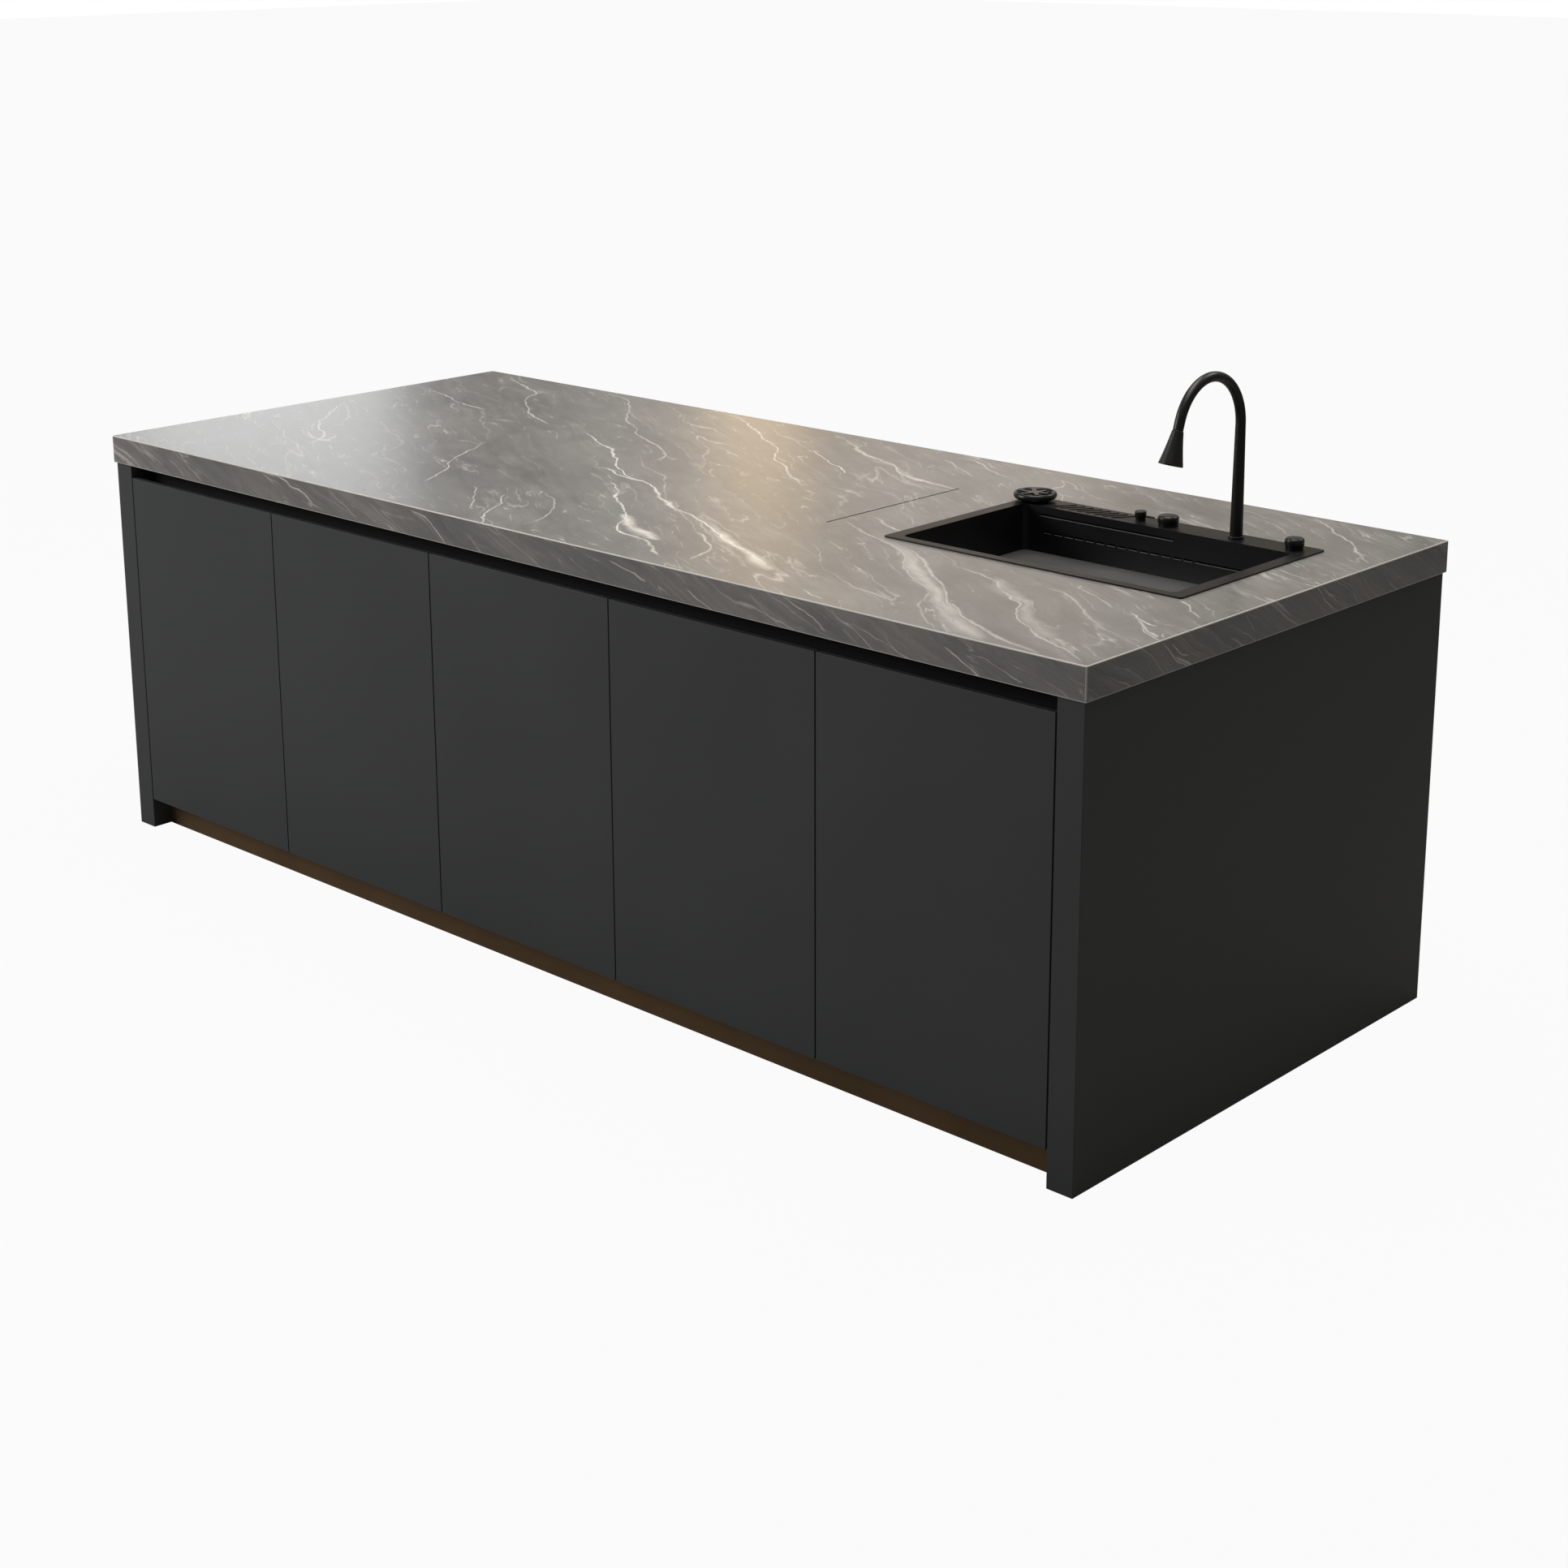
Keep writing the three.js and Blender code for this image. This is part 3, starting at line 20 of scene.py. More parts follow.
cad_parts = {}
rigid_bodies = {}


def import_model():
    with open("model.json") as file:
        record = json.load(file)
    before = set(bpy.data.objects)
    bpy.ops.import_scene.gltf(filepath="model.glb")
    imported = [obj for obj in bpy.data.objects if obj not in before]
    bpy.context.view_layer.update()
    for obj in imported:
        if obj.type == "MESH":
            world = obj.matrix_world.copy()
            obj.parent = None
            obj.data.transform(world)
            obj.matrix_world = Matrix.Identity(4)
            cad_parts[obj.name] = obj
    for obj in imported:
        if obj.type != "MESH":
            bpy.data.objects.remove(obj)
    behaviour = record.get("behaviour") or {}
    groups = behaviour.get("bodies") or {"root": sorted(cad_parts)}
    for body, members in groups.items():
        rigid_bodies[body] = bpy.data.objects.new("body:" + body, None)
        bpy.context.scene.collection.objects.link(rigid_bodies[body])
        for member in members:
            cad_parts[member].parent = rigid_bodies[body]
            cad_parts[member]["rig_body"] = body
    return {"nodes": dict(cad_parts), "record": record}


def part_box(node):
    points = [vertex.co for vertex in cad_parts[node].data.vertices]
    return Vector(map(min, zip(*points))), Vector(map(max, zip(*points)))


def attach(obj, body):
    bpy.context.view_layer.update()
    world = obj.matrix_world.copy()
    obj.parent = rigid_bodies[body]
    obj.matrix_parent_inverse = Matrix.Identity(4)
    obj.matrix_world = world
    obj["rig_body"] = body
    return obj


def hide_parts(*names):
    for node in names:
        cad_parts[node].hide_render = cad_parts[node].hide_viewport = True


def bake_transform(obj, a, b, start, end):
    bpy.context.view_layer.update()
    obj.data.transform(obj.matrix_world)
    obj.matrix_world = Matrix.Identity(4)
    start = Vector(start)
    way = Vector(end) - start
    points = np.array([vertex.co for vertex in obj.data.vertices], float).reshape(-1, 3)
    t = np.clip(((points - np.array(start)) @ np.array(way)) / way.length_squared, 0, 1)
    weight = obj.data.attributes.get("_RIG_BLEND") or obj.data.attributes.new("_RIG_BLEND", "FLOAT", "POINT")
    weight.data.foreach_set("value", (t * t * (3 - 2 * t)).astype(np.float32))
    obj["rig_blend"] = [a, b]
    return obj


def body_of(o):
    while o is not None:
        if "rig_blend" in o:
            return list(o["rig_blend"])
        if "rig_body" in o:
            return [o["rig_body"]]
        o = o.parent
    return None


logging.basicConfig(level=logging.INFO, format="%(message)s")
LOG = logging.getLogger("island")

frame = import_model()

MM = 0.001
SHARP = math.radians(38)  # An edge that bends more than this stays sharp, and is rounded.
FLAT = math.radians(0.5)  # A cut across a face that bends less than this is dissolved.
WELD = 2e-6  # Points closer than this, in metres, are one.
WHITE = (1, 1, 1, 1)

Socket = bpy.types.NodeSocket
Pair = tuple[float, float]
Triple = tuple[float, float, float]
Area = tuple[float, float, float, float]


# ---- colours and nodes


def linear(hex_colour: str) -> tuple[float, float, float, float]:
    """Turns an sRGB hex colour into linear RGBA: c/12.92 when dark, ((c + 0.055) / 1.055)^2.4 otherwise.

    Args:
        hex_colour: six hex digits.

    Returns:
        Linear red, green, blue and an alpha of 1.
    """
    channels = [int(hex_colour[i : i + 2], 16) / 255 for i in (0, 2, 4)]
    lit = [c / 12.92 if c <= 0.04045 else ((c + 0.055) / 1.055) ** 2.4 for c in channels]
    return (*lit, 1.0)


class Graph:
    """A node tree, with short ways to add the nodes that the finishes share."""

    def __init__(self, tree: bpy.types.NodeTree) -> None:
        """Empties the node tree of a material or of the world."""
        tree.nodes.clear()
        self._tree = tree

    def add(self, kind: str, inputs: dict[Any, Any] | None = None, **settings: Any) -> bpy.types.Node:
        """Adds one node, sets it and links it.

        Args:
            kind: the node's type name, without "ShaderNode".
            inputs: values or other nodes' output sockets, keyed by input name or number.
            **settings: the node's own properties.

        Returns:
            The new node.
        """
        node = self._tree.nodes.new(f"ShaderNode{kind}")
        for name, value in settings.items():
            setattr(node, name, value)
        for key, value in (inputs or {}).items():
            socket = node.inputs[key]
            if isinstance(value, Socket):
                self._tree.links.new(value, socket)
            else:
                socket.default_value = value
        return node

    def math(self, operation: str, *values: Any, **settings: Any) -> Socket:
        """Adds a calculation on numbers or sockets, in the order of its inputs."""
        return self.add("Math", dict(enumerate(values)), operation=operation, **settings).outputs[0]

    def rescaled(self, value: Socket, source: tuple[Any, Any], target: tuple[Any, Any], **settings: Any) -> Socket:
        """Turns one range of values into another, held at its ends. A range may hold sockets."""
        ends = dict(zip(("From Min", "From Max", "To Min", "To Max"), (*source, *target)))
        return self.add("MapRange", {"Value": value, **ends}, **settings).outputs["Result"]

    def mix(self, share: float, first: Socket, second: Socket) -> Socket:
        """Mixes two values: (1 - share) first + share second."""
        return self.add("Mix", {"Factor": share, 2: first, 3: second}, data_type="FLOAT").outputs[0]

    def ramp(self, factor: Socket, stops: Sequence[tuple[float, str]]) -> Socket:
        """Adds a colour ramp over a factor.

        Args:
            factor: what drives the ramp.
            stops: positions with a hex colour each.

        Returns:
            The ramp's colour output.
        """
        node = self.add("ValToRGB", {"Fac": factor})
        band = node.color_ramp
        while len(band.elements) < len(stops):
            band.elements.new(0.5)
        for element, (position, colour) in zip(band.elements, stops):
            element.position = position
            element.color = linear(colour)
        return node.outputs["Color"]


# ---- finishes


class Surface(ABC):
    """What a piece is made of, which makes its own procedural material."""

    name: str
    colour: str

    @abstractmethod
    def shader(self, graph: Graph) -> bpy.types.Node:
        """Adds its nodes to the material's and returns the shader that ends them."""

    def material(self) -> bpy.types.Material:
        """Makes the material, or returns it if it is made already.

        Returns:
            The procedural material.
        """
        made = bpy.data.materials.get(self.name)
        if made is None:
            made = bpy.data.materials.new(self.name)
            made.use_nodes = True
            graph = Graph(made.node_tree)
            graph.add("OutputMaterial", {"Surface": self.shader(graph).outputs["BSDF"]})
            made.diffuse_color = linear(self.colour)
        return made


# How much of the grain shows in the colour and gloss beside the clouds, and the noise over which each runs its range.
GRAIN_SHARE = 0.35
COLOUR_WINDOW = (0.3, 0.72)
GLOSS_WINDOW = (0.3, 0.7)
COAT_ROUGHNESS = 0.08


@dataclass(frozen=True)
class Finish(Surface):
    """A finish with a fine grain: its colour drifts, its gloss varies and its surface has a little relief."""

    name: str  # The material's plain name.
    colour: str  # Base colour, sRGB hex.
    drift: str  # The second colour that the base drifts to, sRGB hex.
    roughness: float  # Middle roughness.
    roughness_spread: float = 0.05  # How far the roughness varies to each side.
    metallic: float = 0.0  # 0 for a dielectric, 1 for bare metal.
    ior: float = 1.5  # Index of refraction of a dielectric.
    grain_mm: Triple = (1.0, 1.0, 1.0)  # Width of one grain of the relief, in millimetres along X, Y and Z.
    relief: float = 0.1  # Strength of the relief.
    relief_mm: float = 0.05  # Height of the relief.
    coat: float = 0.0  # Weight of a clear coat.
    cloud_mm: float = 180.0  # Width of the slow clouds in colour and gloss.

    def shader(self, graph: Graph) -> bpy.types.Node:
        """Adds its nodes.

        Args:
            graph: the material's nodes.

        Returns:
            The shader that ends them.
        """
        place = graph.add("TexCoord").outputs["Object"]
        size = [1 / (MM * g) for g in self.grain_mm]
        grain = graph.add("Mapping", {"Vector": place, "Scale": size}).outputs["Vector"]
        fine = graph.add("TexNoise", {"Vector": grain, "Scale": 1.0, "Detail": 3.0}).outputs["Fac"]
        cloud = graph.add("TexNoise", {"Vector": place, "Scale": 1 / (MM * self.cloud_mm), "Detail": 4.0})
        both = graph.mix(GRAIN_SHARE, cloud.outputs["Fac"], fine)
        spread = (self.roughness - self.roughness_spread, self.roughness + self.roughness_spread)
        bump = graph.add("Bump", {"Height": fine, "Strength": self.relief, "Distance": self.relief_mm * MM})
        return graph.add(
            "BsdfPrincipled",
            {
                "Base Color": graph.ramp(both, list(zip(COLOUR_WINDOW, (self.colour, self.drift)))),
                "Roughness": graph.rescaled(both, GLOSS_WINDOW, spread),
                "Metallic": self.metallic,
                "IOR": self.ior,
                "Coat Weight": self.coat,
                "Coat Roughness": COAT_ROUGHNESS,
                "Normal": bump.outputs["Normal"],
            },
        )


# The stone's arris, coloured pale as a painted highlight along its rounded edges, without the pattern of the face.
PAINTED_HIGHLIGHT_ARRIS = Finish(
    "stone_arris_painted_highlight", "b5b1aa", "cdc9c2", 0.36, 0.06,
    grain_mm=(2.0, 2.0, 2.0), relief_mm=0.02, cloud_mm=90,
)
# Fibreboard sprayed with super-matt lacquer: even, nearly no gloss, the faintest orange peel.
CHARCOAL_LACQUER = Finish(
    "matt_lacquer_charcoal", "383a3b", "3e4041", 0.5, 0.04,
    ior=1.42, grain_mm=(0.9, 0.9, 0.9), relief=0.12, relief_mm=0.04, cloud_mm=420,
)
# Birch plywood, sanded and raw: pale and dry, grain along the board.
BIRCH_PLY = Finish(
    "birch_plywood_raw", "b89b6f", "c9b088", 0.68, 0.06,
    grain_mm=(40, 2.5, 1.4), relief=0.25, relief_mm=0.1, cloud_mm=260,
)
# Chipboard faced with dark grey melamine, pressed with a fine pearl texture.
MELAMINE = Finish("melamine_board_dark", "2e2e2f", "383839", 0.5, 0.05, grain_mm=(1.6, 1.6, 1.6), relief=0.3)
# Aluminium channel, anodised black: deep, satin, drawn along its length.
BLACK_ANODISED = Finish(
    "black_anodised_aluminium", "040404", "070707", 0.6, 0.05,
    ior=1.36, grain_mm=(60, 0.8, 0.8), relief_mm=0.03,
)
# Aluminium plinth, brushed along its length and anodised dark bronze.
BRONZE_ANODISED = Finish(
    "bronze_anodised_aluminium", "725c43", "806749", 0.44, 0.06,
    metallic=0.7, grain_mm=(70, 0.9, 0.9), relief=0.2, relief_mm=0.03,
)
# Zinc die casting, nickel plated: bright but not mirror-like.
NICKEL = Finish(
    "nickel_plated_zinc", "a9a8a3", "bdbcb8", 0.34, 0.05,
    metallic=1.0, grain_mm=(1.2, 1.2, 1.2), relief=0.12, relief_mm=0.02, cloud_mm=30,
)
# Stainless steel, brushed along the sink and coated black: satin, with soft streaky lights.
BLACK_STEEL = Finish(
    "black_coated_stainless", "0b0b0c", "121213", 0.4, 0.05,
    metallic=0.05, ior=1.34, grain_mm=(30, 0.7, 0.7), relief=0.16, relief_mm=0.03, cloud_mm=120,
)
# Stainless steel, coated gunmetal grey.
GREY_STEEL = Finish(
    "gunmetal_coated_stainless", "686867", "747473", 0.44, 0.05,
    metallic=0.6, grain_mm=(24, 0.8, 0.8), relief=0.18, relief_mm=0.03, cloud_mm=140,
)
# Stainless steel, polished.
POLISHED_STEEL = Finish(
    "polished_stainless", "b4b4b2", "c6c6c4", 0.16, 0.04,
    metallic=1.0, relief=0.05, relief_mm=0.02, cloud_mm=40,
)
# Polypropylene, moulded: milky white with a soft sheen.
POLYPROPYLENE = Finish("polypropylene_white", "d9d9d3", "e2e2dd", 0.42, 0.05, ior=1.49, cloud_mm=60)
# Brass, turned and coated satin black.
BLACK_BRASS = Finish(
    "satin_black_coated_brass", "0e0e0e", "141414", 0.36, 0.04,
    metallic=0.2, relief=0.08, relief_mm=0.02, cloud_mm=45,
)
# Moulded acetal, polished black; the faint blue in its black is a painted reflection of bluish light.
GLOSS_BLACK = Finish(
    "polished_black_acetal", "080b0f", "0b0f14", 0.32, 0.03,
    ior=1.45, relief=0.03, relief_mm=0.02, cloud_mm=50,
)
# Nylon braid over a rubber hose.
HOSE_BRAID = Finish(
    "braided_nylon_hose", "2a2a2b", "3b3b3d", 0.6, 0.08,
    grain_mm=(1.2, 1.2, 1.2), relief=0.6, relief_mm=0.2, cloud_mm=10,
)


@dataclass(frozen=True)
class Vein:
    """One pale vein, drawn as a line over the worktop."""

    points: np.ndarray  # Rows of places along it, in metres.
    width_mm: float  # Its half width where it is widest.
    strength: float  # How far it hides the ground colour, 0 to 1.


# Each row is a vein's half width in millimetres, its strength, and places along it in millimetres:
# (x, y) on the top, (x, z) on the front edge and (y, z) on the right edge.
TOP_VEINS = (
    (5, 0.6, (-1227, 531), (-1067, 437), (-958, 323), (-714, 173)),
    (5, 0.9, (-596, 156), (-413, 83), (-213, -57), (-87, -110), (120, -232)),
    (7, 0.85, (90, -215), (237, -273), (398, -359), (560, -432)),
    (26, 0.6, (270, -290), (360, -335), (450, -385), (560, -440)),
    (6, 0.8, (-330, -110), (-289, -62), (-213, -78), (-119, -97)),
    (5, 0.85, (-180, -132), (51, -295), (156, -408), (285, -478), (348, -503)),
    (22, 0.8, (60, -310), (150, -375), (250, -435)),
    (4, 0.5, (-933, 543), (-818, 505), (-606, 321), (-446, 218), (-229, 80)),
    (4, 0.65, (-673, -47), (-599, -154), (-450, -387)),
    (3.5, 0.8, (-246, -354), (-143, -472), (-70, -551)),
    (3.5, 0.5, (-197, -290), (-75, -372), (-11, -498)),
    (4, 0.6, (-1265, 287), (-1069, 223), (-953, 192)),
    (5, 0.5, (-526, 550), (-271, 425), (-42, 227), (137, 94)),
    (3.5, 0.55, (-347, -345), (-194, -480)),
    (5, 0.5, (-1254, 1), (-1102, -152), (-1006, -215), (-931, -316)),
    (6, 0.6, (267, -325), (363, -391), (418, -488)),
    (9, 0.5, (-107, 512), (35, 422), (138, 367), (237, 313), (390, 281)),
    (3.5, 0.85, (-73, 370), (1, 316), (62, 283), (129, 230)),
    (6, 0.4, (411, -72), (562, -151), (635, -196), (737, -274), (905, -400)),
    (7, 0.42, (562, -151), (706, -207), (825, -296), (960, -407), (1157, -512), (1233, -543)),
    (34, 0.4, (600, -170), (720, -240), (850, -345), (1000, -455), (1120, -530)),
    (5, 0.42, (774, -199), (882, -235), (1007, -336), (1172, -447), (1317, -532)),
    (6, 0.3, (986, -229), (1119, -290), (1208, -345)),
    (5, 0.35, (1030, -190), (1086, -216), (1155, -248)),
    (5, 0.4, (203, 529), (265, 511), (336, 459), (395, 428)),
    (4, 0.4, (194, 491), (276, 433), (341, 393)),
    (4.5, 0.5, (442, -13), (496, -47), (540, -60)),
    (5, 0.35, (203, 11), (241, 7), (268, 18)),
    (4, 0.5, (687, -511), (725, -525), (757, -539)),
    (4, 0.85, (1195, -247), (1234, -265), (1275, -281)),
    (3.5, 0.6, (1234, -265), (1280, -321), (1324, -359)),
    (5, 0.3, (1207, 166), (1253, 146), (1296, 134)),
    (5, 0.5, (1056, 524), (1137, 455), (1201, 410), (1261, 343), (1313, 305)),
    (4, 0.5, (1205, -125), (1249, -151), (1306, -191)),
    (24, 0.24, (875, -215), (1014, -328), (1139, -409), (1197, -450)),
    (6, 0.6, (1224, -263), (1277, -310), (1314, -343)),
)
FRONT_VEINS = (
    (3, 0.55, (471, 869), (499, 856), (534, 842)),
    (2.5, 0.4, (616, 882), (650, 860), (683, 842)),
    (3, 0.6, (696, 891), (755, 865), (794, 843)),
    (2.5, 0.45, (800, 886), (857, 865), (901, 842)),
    (2.5, 0.4, (844, 879), (926, 861), (993, 842)),
    (3, 0.45, (919, 888), (944, 859), (993, 842)),
    (3.5, 0.8, (1052, 890), (1099, 863), (1137, 842)),
    (2.5, 0.4, (1105, 886), (1157, 870), (1208, 852)),
    (4, 0.75, (-773, 897), (-668, 881), (-609, 851)),
    (4, 0.8, (-303, 894), (-241, 875), (-187, 844)),
    (4, 0.7, (255, 889), (314, 876), (362, 859)),
    (3, 0.35, (-1054, 889), (-1018, 864), (-983, 843)),
    (3, 0.4, (-564, 898), (-526, 872), (-468, 846)),
    (3, 0.35, (-431, 895), (-387, 868), (-337, 847)),
    (3, 0.4, (-130, 880), (-101, 861), (-78, 845)),
    (3, 0.3, (-1210, 885), (-1172, 870), (-1127, 851)),
)
RIGHT_VEINS = (
    (3, 0.7, (100, 895), (130, 870), (164, 844)),
    (2.5, 0.5, (-112, 885), (-91, 865), (-73, 843)),
    (3, 0.5, (-320, 889), (-298, 874), (-273, 867)),
)

# Which coordinate a face's rows leave out, and where the face lies along it.
FACES = ((2, 900, TOP_VEINS), (1, -550, FRONT_VEINS), (0, 1330, RIGHT_VEINS))
VEINS = [
    Vein(np.insert(np.array(places, float), left_out, level, axis=1) / 1000, width, strength)
    for left_out, level, rows in FACES
    for width, strength, *places in rows
]

# How a drawn vein's width swells, and how its strength fades, from its start at -1 to its end at 1.
VEIN_SWELL = ((-1, -0.6, 0.2, 0.7, 1), (0.25, 0.8, 0.6, 1.0, 0.3))
VEIN_FADE = ((-1, -0.8, 0.8, 1), (0.0, 1.0, 1.0, 0.0))
LEAST_SPAN = 0.01


class Noise(NamedTuple):
    """Noise that is stretched along the stone's sheets."""

    along: float  # Noise per metre along the streaks.
    across: float  # Noise per metre across them.
    detail: float  # Octaves.
    rough: float  # Share that each octave keeps.

    def read(self, graph: Graph, place: Socket) -> Socket:
        """Adds the noise.

        Args:
            graph: the stone's nodes.
            place: where it is read.

        Returns:
            The noise, about 0.5.
        """
        size = (self.along, self.across, self.along)
        grown = graph.add("Mapping", {"Vector": place, "Scale": size}).outputs["Vector"]
        inputs = {"Vector": grown, "Scale": 1.0, "Detail": self.detail, "Roughness": self.rough}
        return graph.add("TexNoise", inputs).outputs["Fac"]


CLOUDS = Noise(1.6, 4.5, 6.0, 0.62)
STREAKS = Noise(3.0, 42.0, 5.0, 0.6)
BLOTCHES = Noise(9.0, 16.0, 6.0, 0.7)
SPECKLE = Noise(260.0, 260.0, 2.0, 0.5)
TEARS = Noise(14.0, 60.0, 4.0, 0.65)
WEB = Noise(1.3, 9.0, 2.5, 0.45)
FINE_WEB = Noise(3.0, 22.0, 2.5, 0.45)


@dataclass(frozen=True)
class VeinedStone(Surface):
    """Sintered stone with the look of grey marble, honed: smooth to the hand, with blurred reflections.

    The pattern lies in sheets through the block, so it runs on over the edges. Along the sheets goes
    u = along . p, and across them v = across . p. A vein is the line v = f(u), with its own width.
    """

    name: str = "honed_grey_marble_stone"  # The material's plain name.
    dark: str = "605f5d"  # Ground colour in the shadows of the pattern, sRGB hex.
    colour: str = "787674"  # Middle ground colour.
    pale: str = "908d89"  # Ground colour in its light clouds.
    vein: str = "e6e2db"  # Colour of the veins.
    roughness: float = 0.3  # Middle roughness.
    ior: float = 1.52  # Index of refraction.
    along: Triple = (0.866, -0.5, 0.0)  # Direction of the sheets' streaks.
    across: Triple = (0.5, 0.866, 1.3)  # Direction through the sheets, with the slope that they have over the edges.
    top: float = 0.9  # Height of the worktop's face, where v has no share of the height.
    # Noise per metre and reach in metres of each push that bends the sheets.
    bends: tuple[Pair, ...] = ((5.0, 0.05), (38.0, 0.008))
    shares: Triple = (0.34, 0.28, 0.1)  # How much of the ground is streaks, then blotches, then speckle.
    stops: Triple = (0.36, 0.5, 0.64)  # Where on the ground's noise its three colours lie.
    web_widths: Pair = (0.009, 0.012)  # How far from the middle of its noise a hairline of each web reaches.
    web_strength: float = 0.42  # How strong the webs are.
    web_window: Pair = (0.47, 0.6)  # Noise over which a web comes into sight.
    tear_window: Pair = (0.3, 0.6)  # Noise over which a drawn vein goes from torn to whole.
    torn_share: float = 0.4  # How much of a vein's strength is left where it is torn.
    gloss_window: Pair = (0.35, 0.65)  # The ground's noise over which the roughness runs its range.
    gloss_spread: Pair = (-0.015, 0.05)  # How far the roughness falls and rises.
    relief: float = 0.06  # Strength of the relief.
    relief_mm: float = 0.03  # Its height.

    def sheet_place(self, vein: Vein) -> np.ndarray:
        """Turns a vein's points into (u, v), in the order of u.

        Args:
            vein: the vein.

        Returns:
            An array with a row (u, v) for each point.
        """
        u = vein.points @ np.array(self.along)
        v = vein.points @ np.array(self.across) - self.across[2] * self.top
        order = np.argsort(u)
        return np.stack([u[order], v[order]], axis=1)

    def shader(self, graph: Graph) -> bpy.types.Node:
        """Adds its nodes.

        Args:
            graph: the material's nodes.

        Returns:
            The shader that ends them.
        """
        place = graph.add("TexCoord").outputs["Object"]
        bent = place
        for scale, reach in self.bends:
            bent = self._bend(graph, bent, scale, reach)
        u = graph.add("VectorMath", {0: bent, 1: self.along}, operation="DOT_PRODUCT").outputs["Value"]
        raised = graph.add("VectorMath", {0: bent, 1: (0, 0, -self.top)}).outputs["Vector"]
        v = graph.add("VectorMath", {0: raised, 1: self.across}, operation="DOT_PRODUCT").outputs["Value"]
        sheet = graph.add("CombineXYZ", {"X": u, "Y": v}).outputs["Vector"]
        clouds, streaks, blotches = (noise.read(graph, sheet) for noise in (CLOUDS, STREAKS, BLOTCHES))
        speckle = SPECKLE.read(graph, place)
        ground = clouds
        for share, layer in zip(self.shares, (streaks, blotches, speckle)):
            ground = graph.mix(share, ground, layer)
        colour = graph.ramp(ground, list(zip(self.stops, (self.dark, self.colour, self.pale))))
        web = self._web(graph, WEB.read(graph, sheet), self.web_widths[0], clouds)
        finer = self._web(graph, FINE_WEB.read(graph, sheet), self.web_widths[1], blotches)
        web = graph.math("MULTIPLY", graph.math("MAXIMUM", web, finer), self.web_strength)
        torn = graph.rescaled(TEARS.read(graph, sheet), self.tear_window, (self.torn_share, 1.0))
        drawn = graph.math("MULTIPLY", self._drawn(graph, u, v), torn)
        veins = graph.math("MAXIMUM", web, drawn, use_clamp=True)
        stained = {"Factor": veins, 6: colour, 7: linear(self.vein)}
        bump = graph.add("Bump", {"Height": speckle, "Strength": self.relief, "Distance": self.relief_mm * MM})
        return graph.add(
            "BsdfPrincipled",
            {
                "Base Color": graph.add("Mix", stained, data_type="RGBA").outputs[2],
                "Roughness": graph.rescaled(
                    ground, self.gloss_window, [self.roughness + change for change in self.gloss_spread]
                ),
                "IOR": self.ior,
                "Normal": bump.outputs["Normal"],
            },
        )

    @staticmethod
    def _bend(graph: Graph, place: Socket, scale: float, reach: float) -> Socket:
        """Pushes the place about by noise: p + reach (noise(scale p) - 1/2).

        Args:
            graph: the stone's nodes.
            place: the place to bend.
            scale: noise per metre.
            reach: how far it is pushed, in metres.

        Returns:
            The bent place.
        """
        noise = graph.add("TexNoise", {"Vector": place, "Scale": scale, "Detail": 2.0}).outputs["Color"]
        push = graph.add("VectorMath", {0: noise, 1: (0.5, 0.5, 0.5)}, operation="SUBTRACT").outputs["Vector"]
        far = graph.add("VectorMath", {0: push, "Scale": reach}, operation="SCALE").outputs["Vector"]
        return graph.add("VectorMath", {0: place, 1: far}).outputs["Vector"]

    def _web(self, graph: Graph, noise: Socket, width: float, mask: Socket) -> Socket:
        """Hairline veins where noise crosses its middle: 1 - |noise - 1/2| / width, where the mask lets them show.

        Args:
            graph: the stone's nodes.
            noise: the noise.
            width: how far from the middle a vein reaches.
            mask: noise that fades the veins out.

        Returns:
            The veins' strength.
        """
        off = graph.math("ABSOLUTE", graph.math("SUBTRACT", noise, 0.5))
        line = graph.rescaled(off, (0.0, width), (1.0, 0.0))
        return graph.math("MULTIPLY", line, graph.rescaled(mask, self.web_window, (0.0, 1.0)))

    def _drawn(self, graph: Graph, u: Socket, v: Socket) -> Socket:
        """The drawn veins: each is strength (1 - |v - f(u)| / width), with f, width and strength from one curves node.

        Args:
            graph: the stone's nodes.
            u: place along the sheets.
            v: place across the sheets.

        Returns:
            The strongest vein at each point.
        """
        strongest = None
        for vein in VEINS:
            line = self.sheet_place(vein)
            start, end = line[0, 0], line[-1, 0]
            middle, span = line[:, 1].mean(), max(np.ptp(line[:, 1]), LEAST_SPAN)
            share = graph.rescaled(u, (start, end), (-1.0, 1.0))
            node = graph.add("VectorCurve", {"Vector": share})
            spots = (line[:, 0] - start) / (end - start) * 2 - 1
            shapes = ((spots, (line[:, 1] - middle) / span), VEIN_SWELL, VEIN_FADE)
            for curve, shape in zip(node.mapping.curves, shapes):
                self._shape_curve(curve, *shape)
            node.mapping.update()
            x, y, z = graph.add("SeparateXYZ", {"Vector": node.outputs["Vector"]}).outputs
            centre = graph.math("MULTIPLY_ADD", x, span, middle)
            off = graph.math("ABSOLUTE", graph.math("SUBTRACT", v, centre))
            width = graph.math("MULTIPLY", y, vein.width_mm * MM)
            near = graph.rescaled(off, (0.0, width), (vein.strength, 0.0), interpolation_type="SMOOTHSTEP")
            near = graph.math("MULTIPLY", near, z)
            strongest = near if strongest is None else graph.math("MAXIMUM", strongest, near)
        return strongest

    @staticmethod
    def _shape_curve(curve: bpy.types.CurveMap, spots: Iterable[float], heights: Iterable[float]) -> None:
        """Gives a curve its points.

        Args:
            curve: the curve, which starts with two points.
            spots: places from -1 to 1.
            heights: heights from -1 to 1.
        """
        pairs = list(zip(spots, heights))
        while len(curve.points) < len(pairs):
            curve.points.new(0.0, 0.0)
        for point, (spot, height) in zip(curve.points, pairs):
            point.location = (float(spot), float(height))


STONE = VeinedStone()

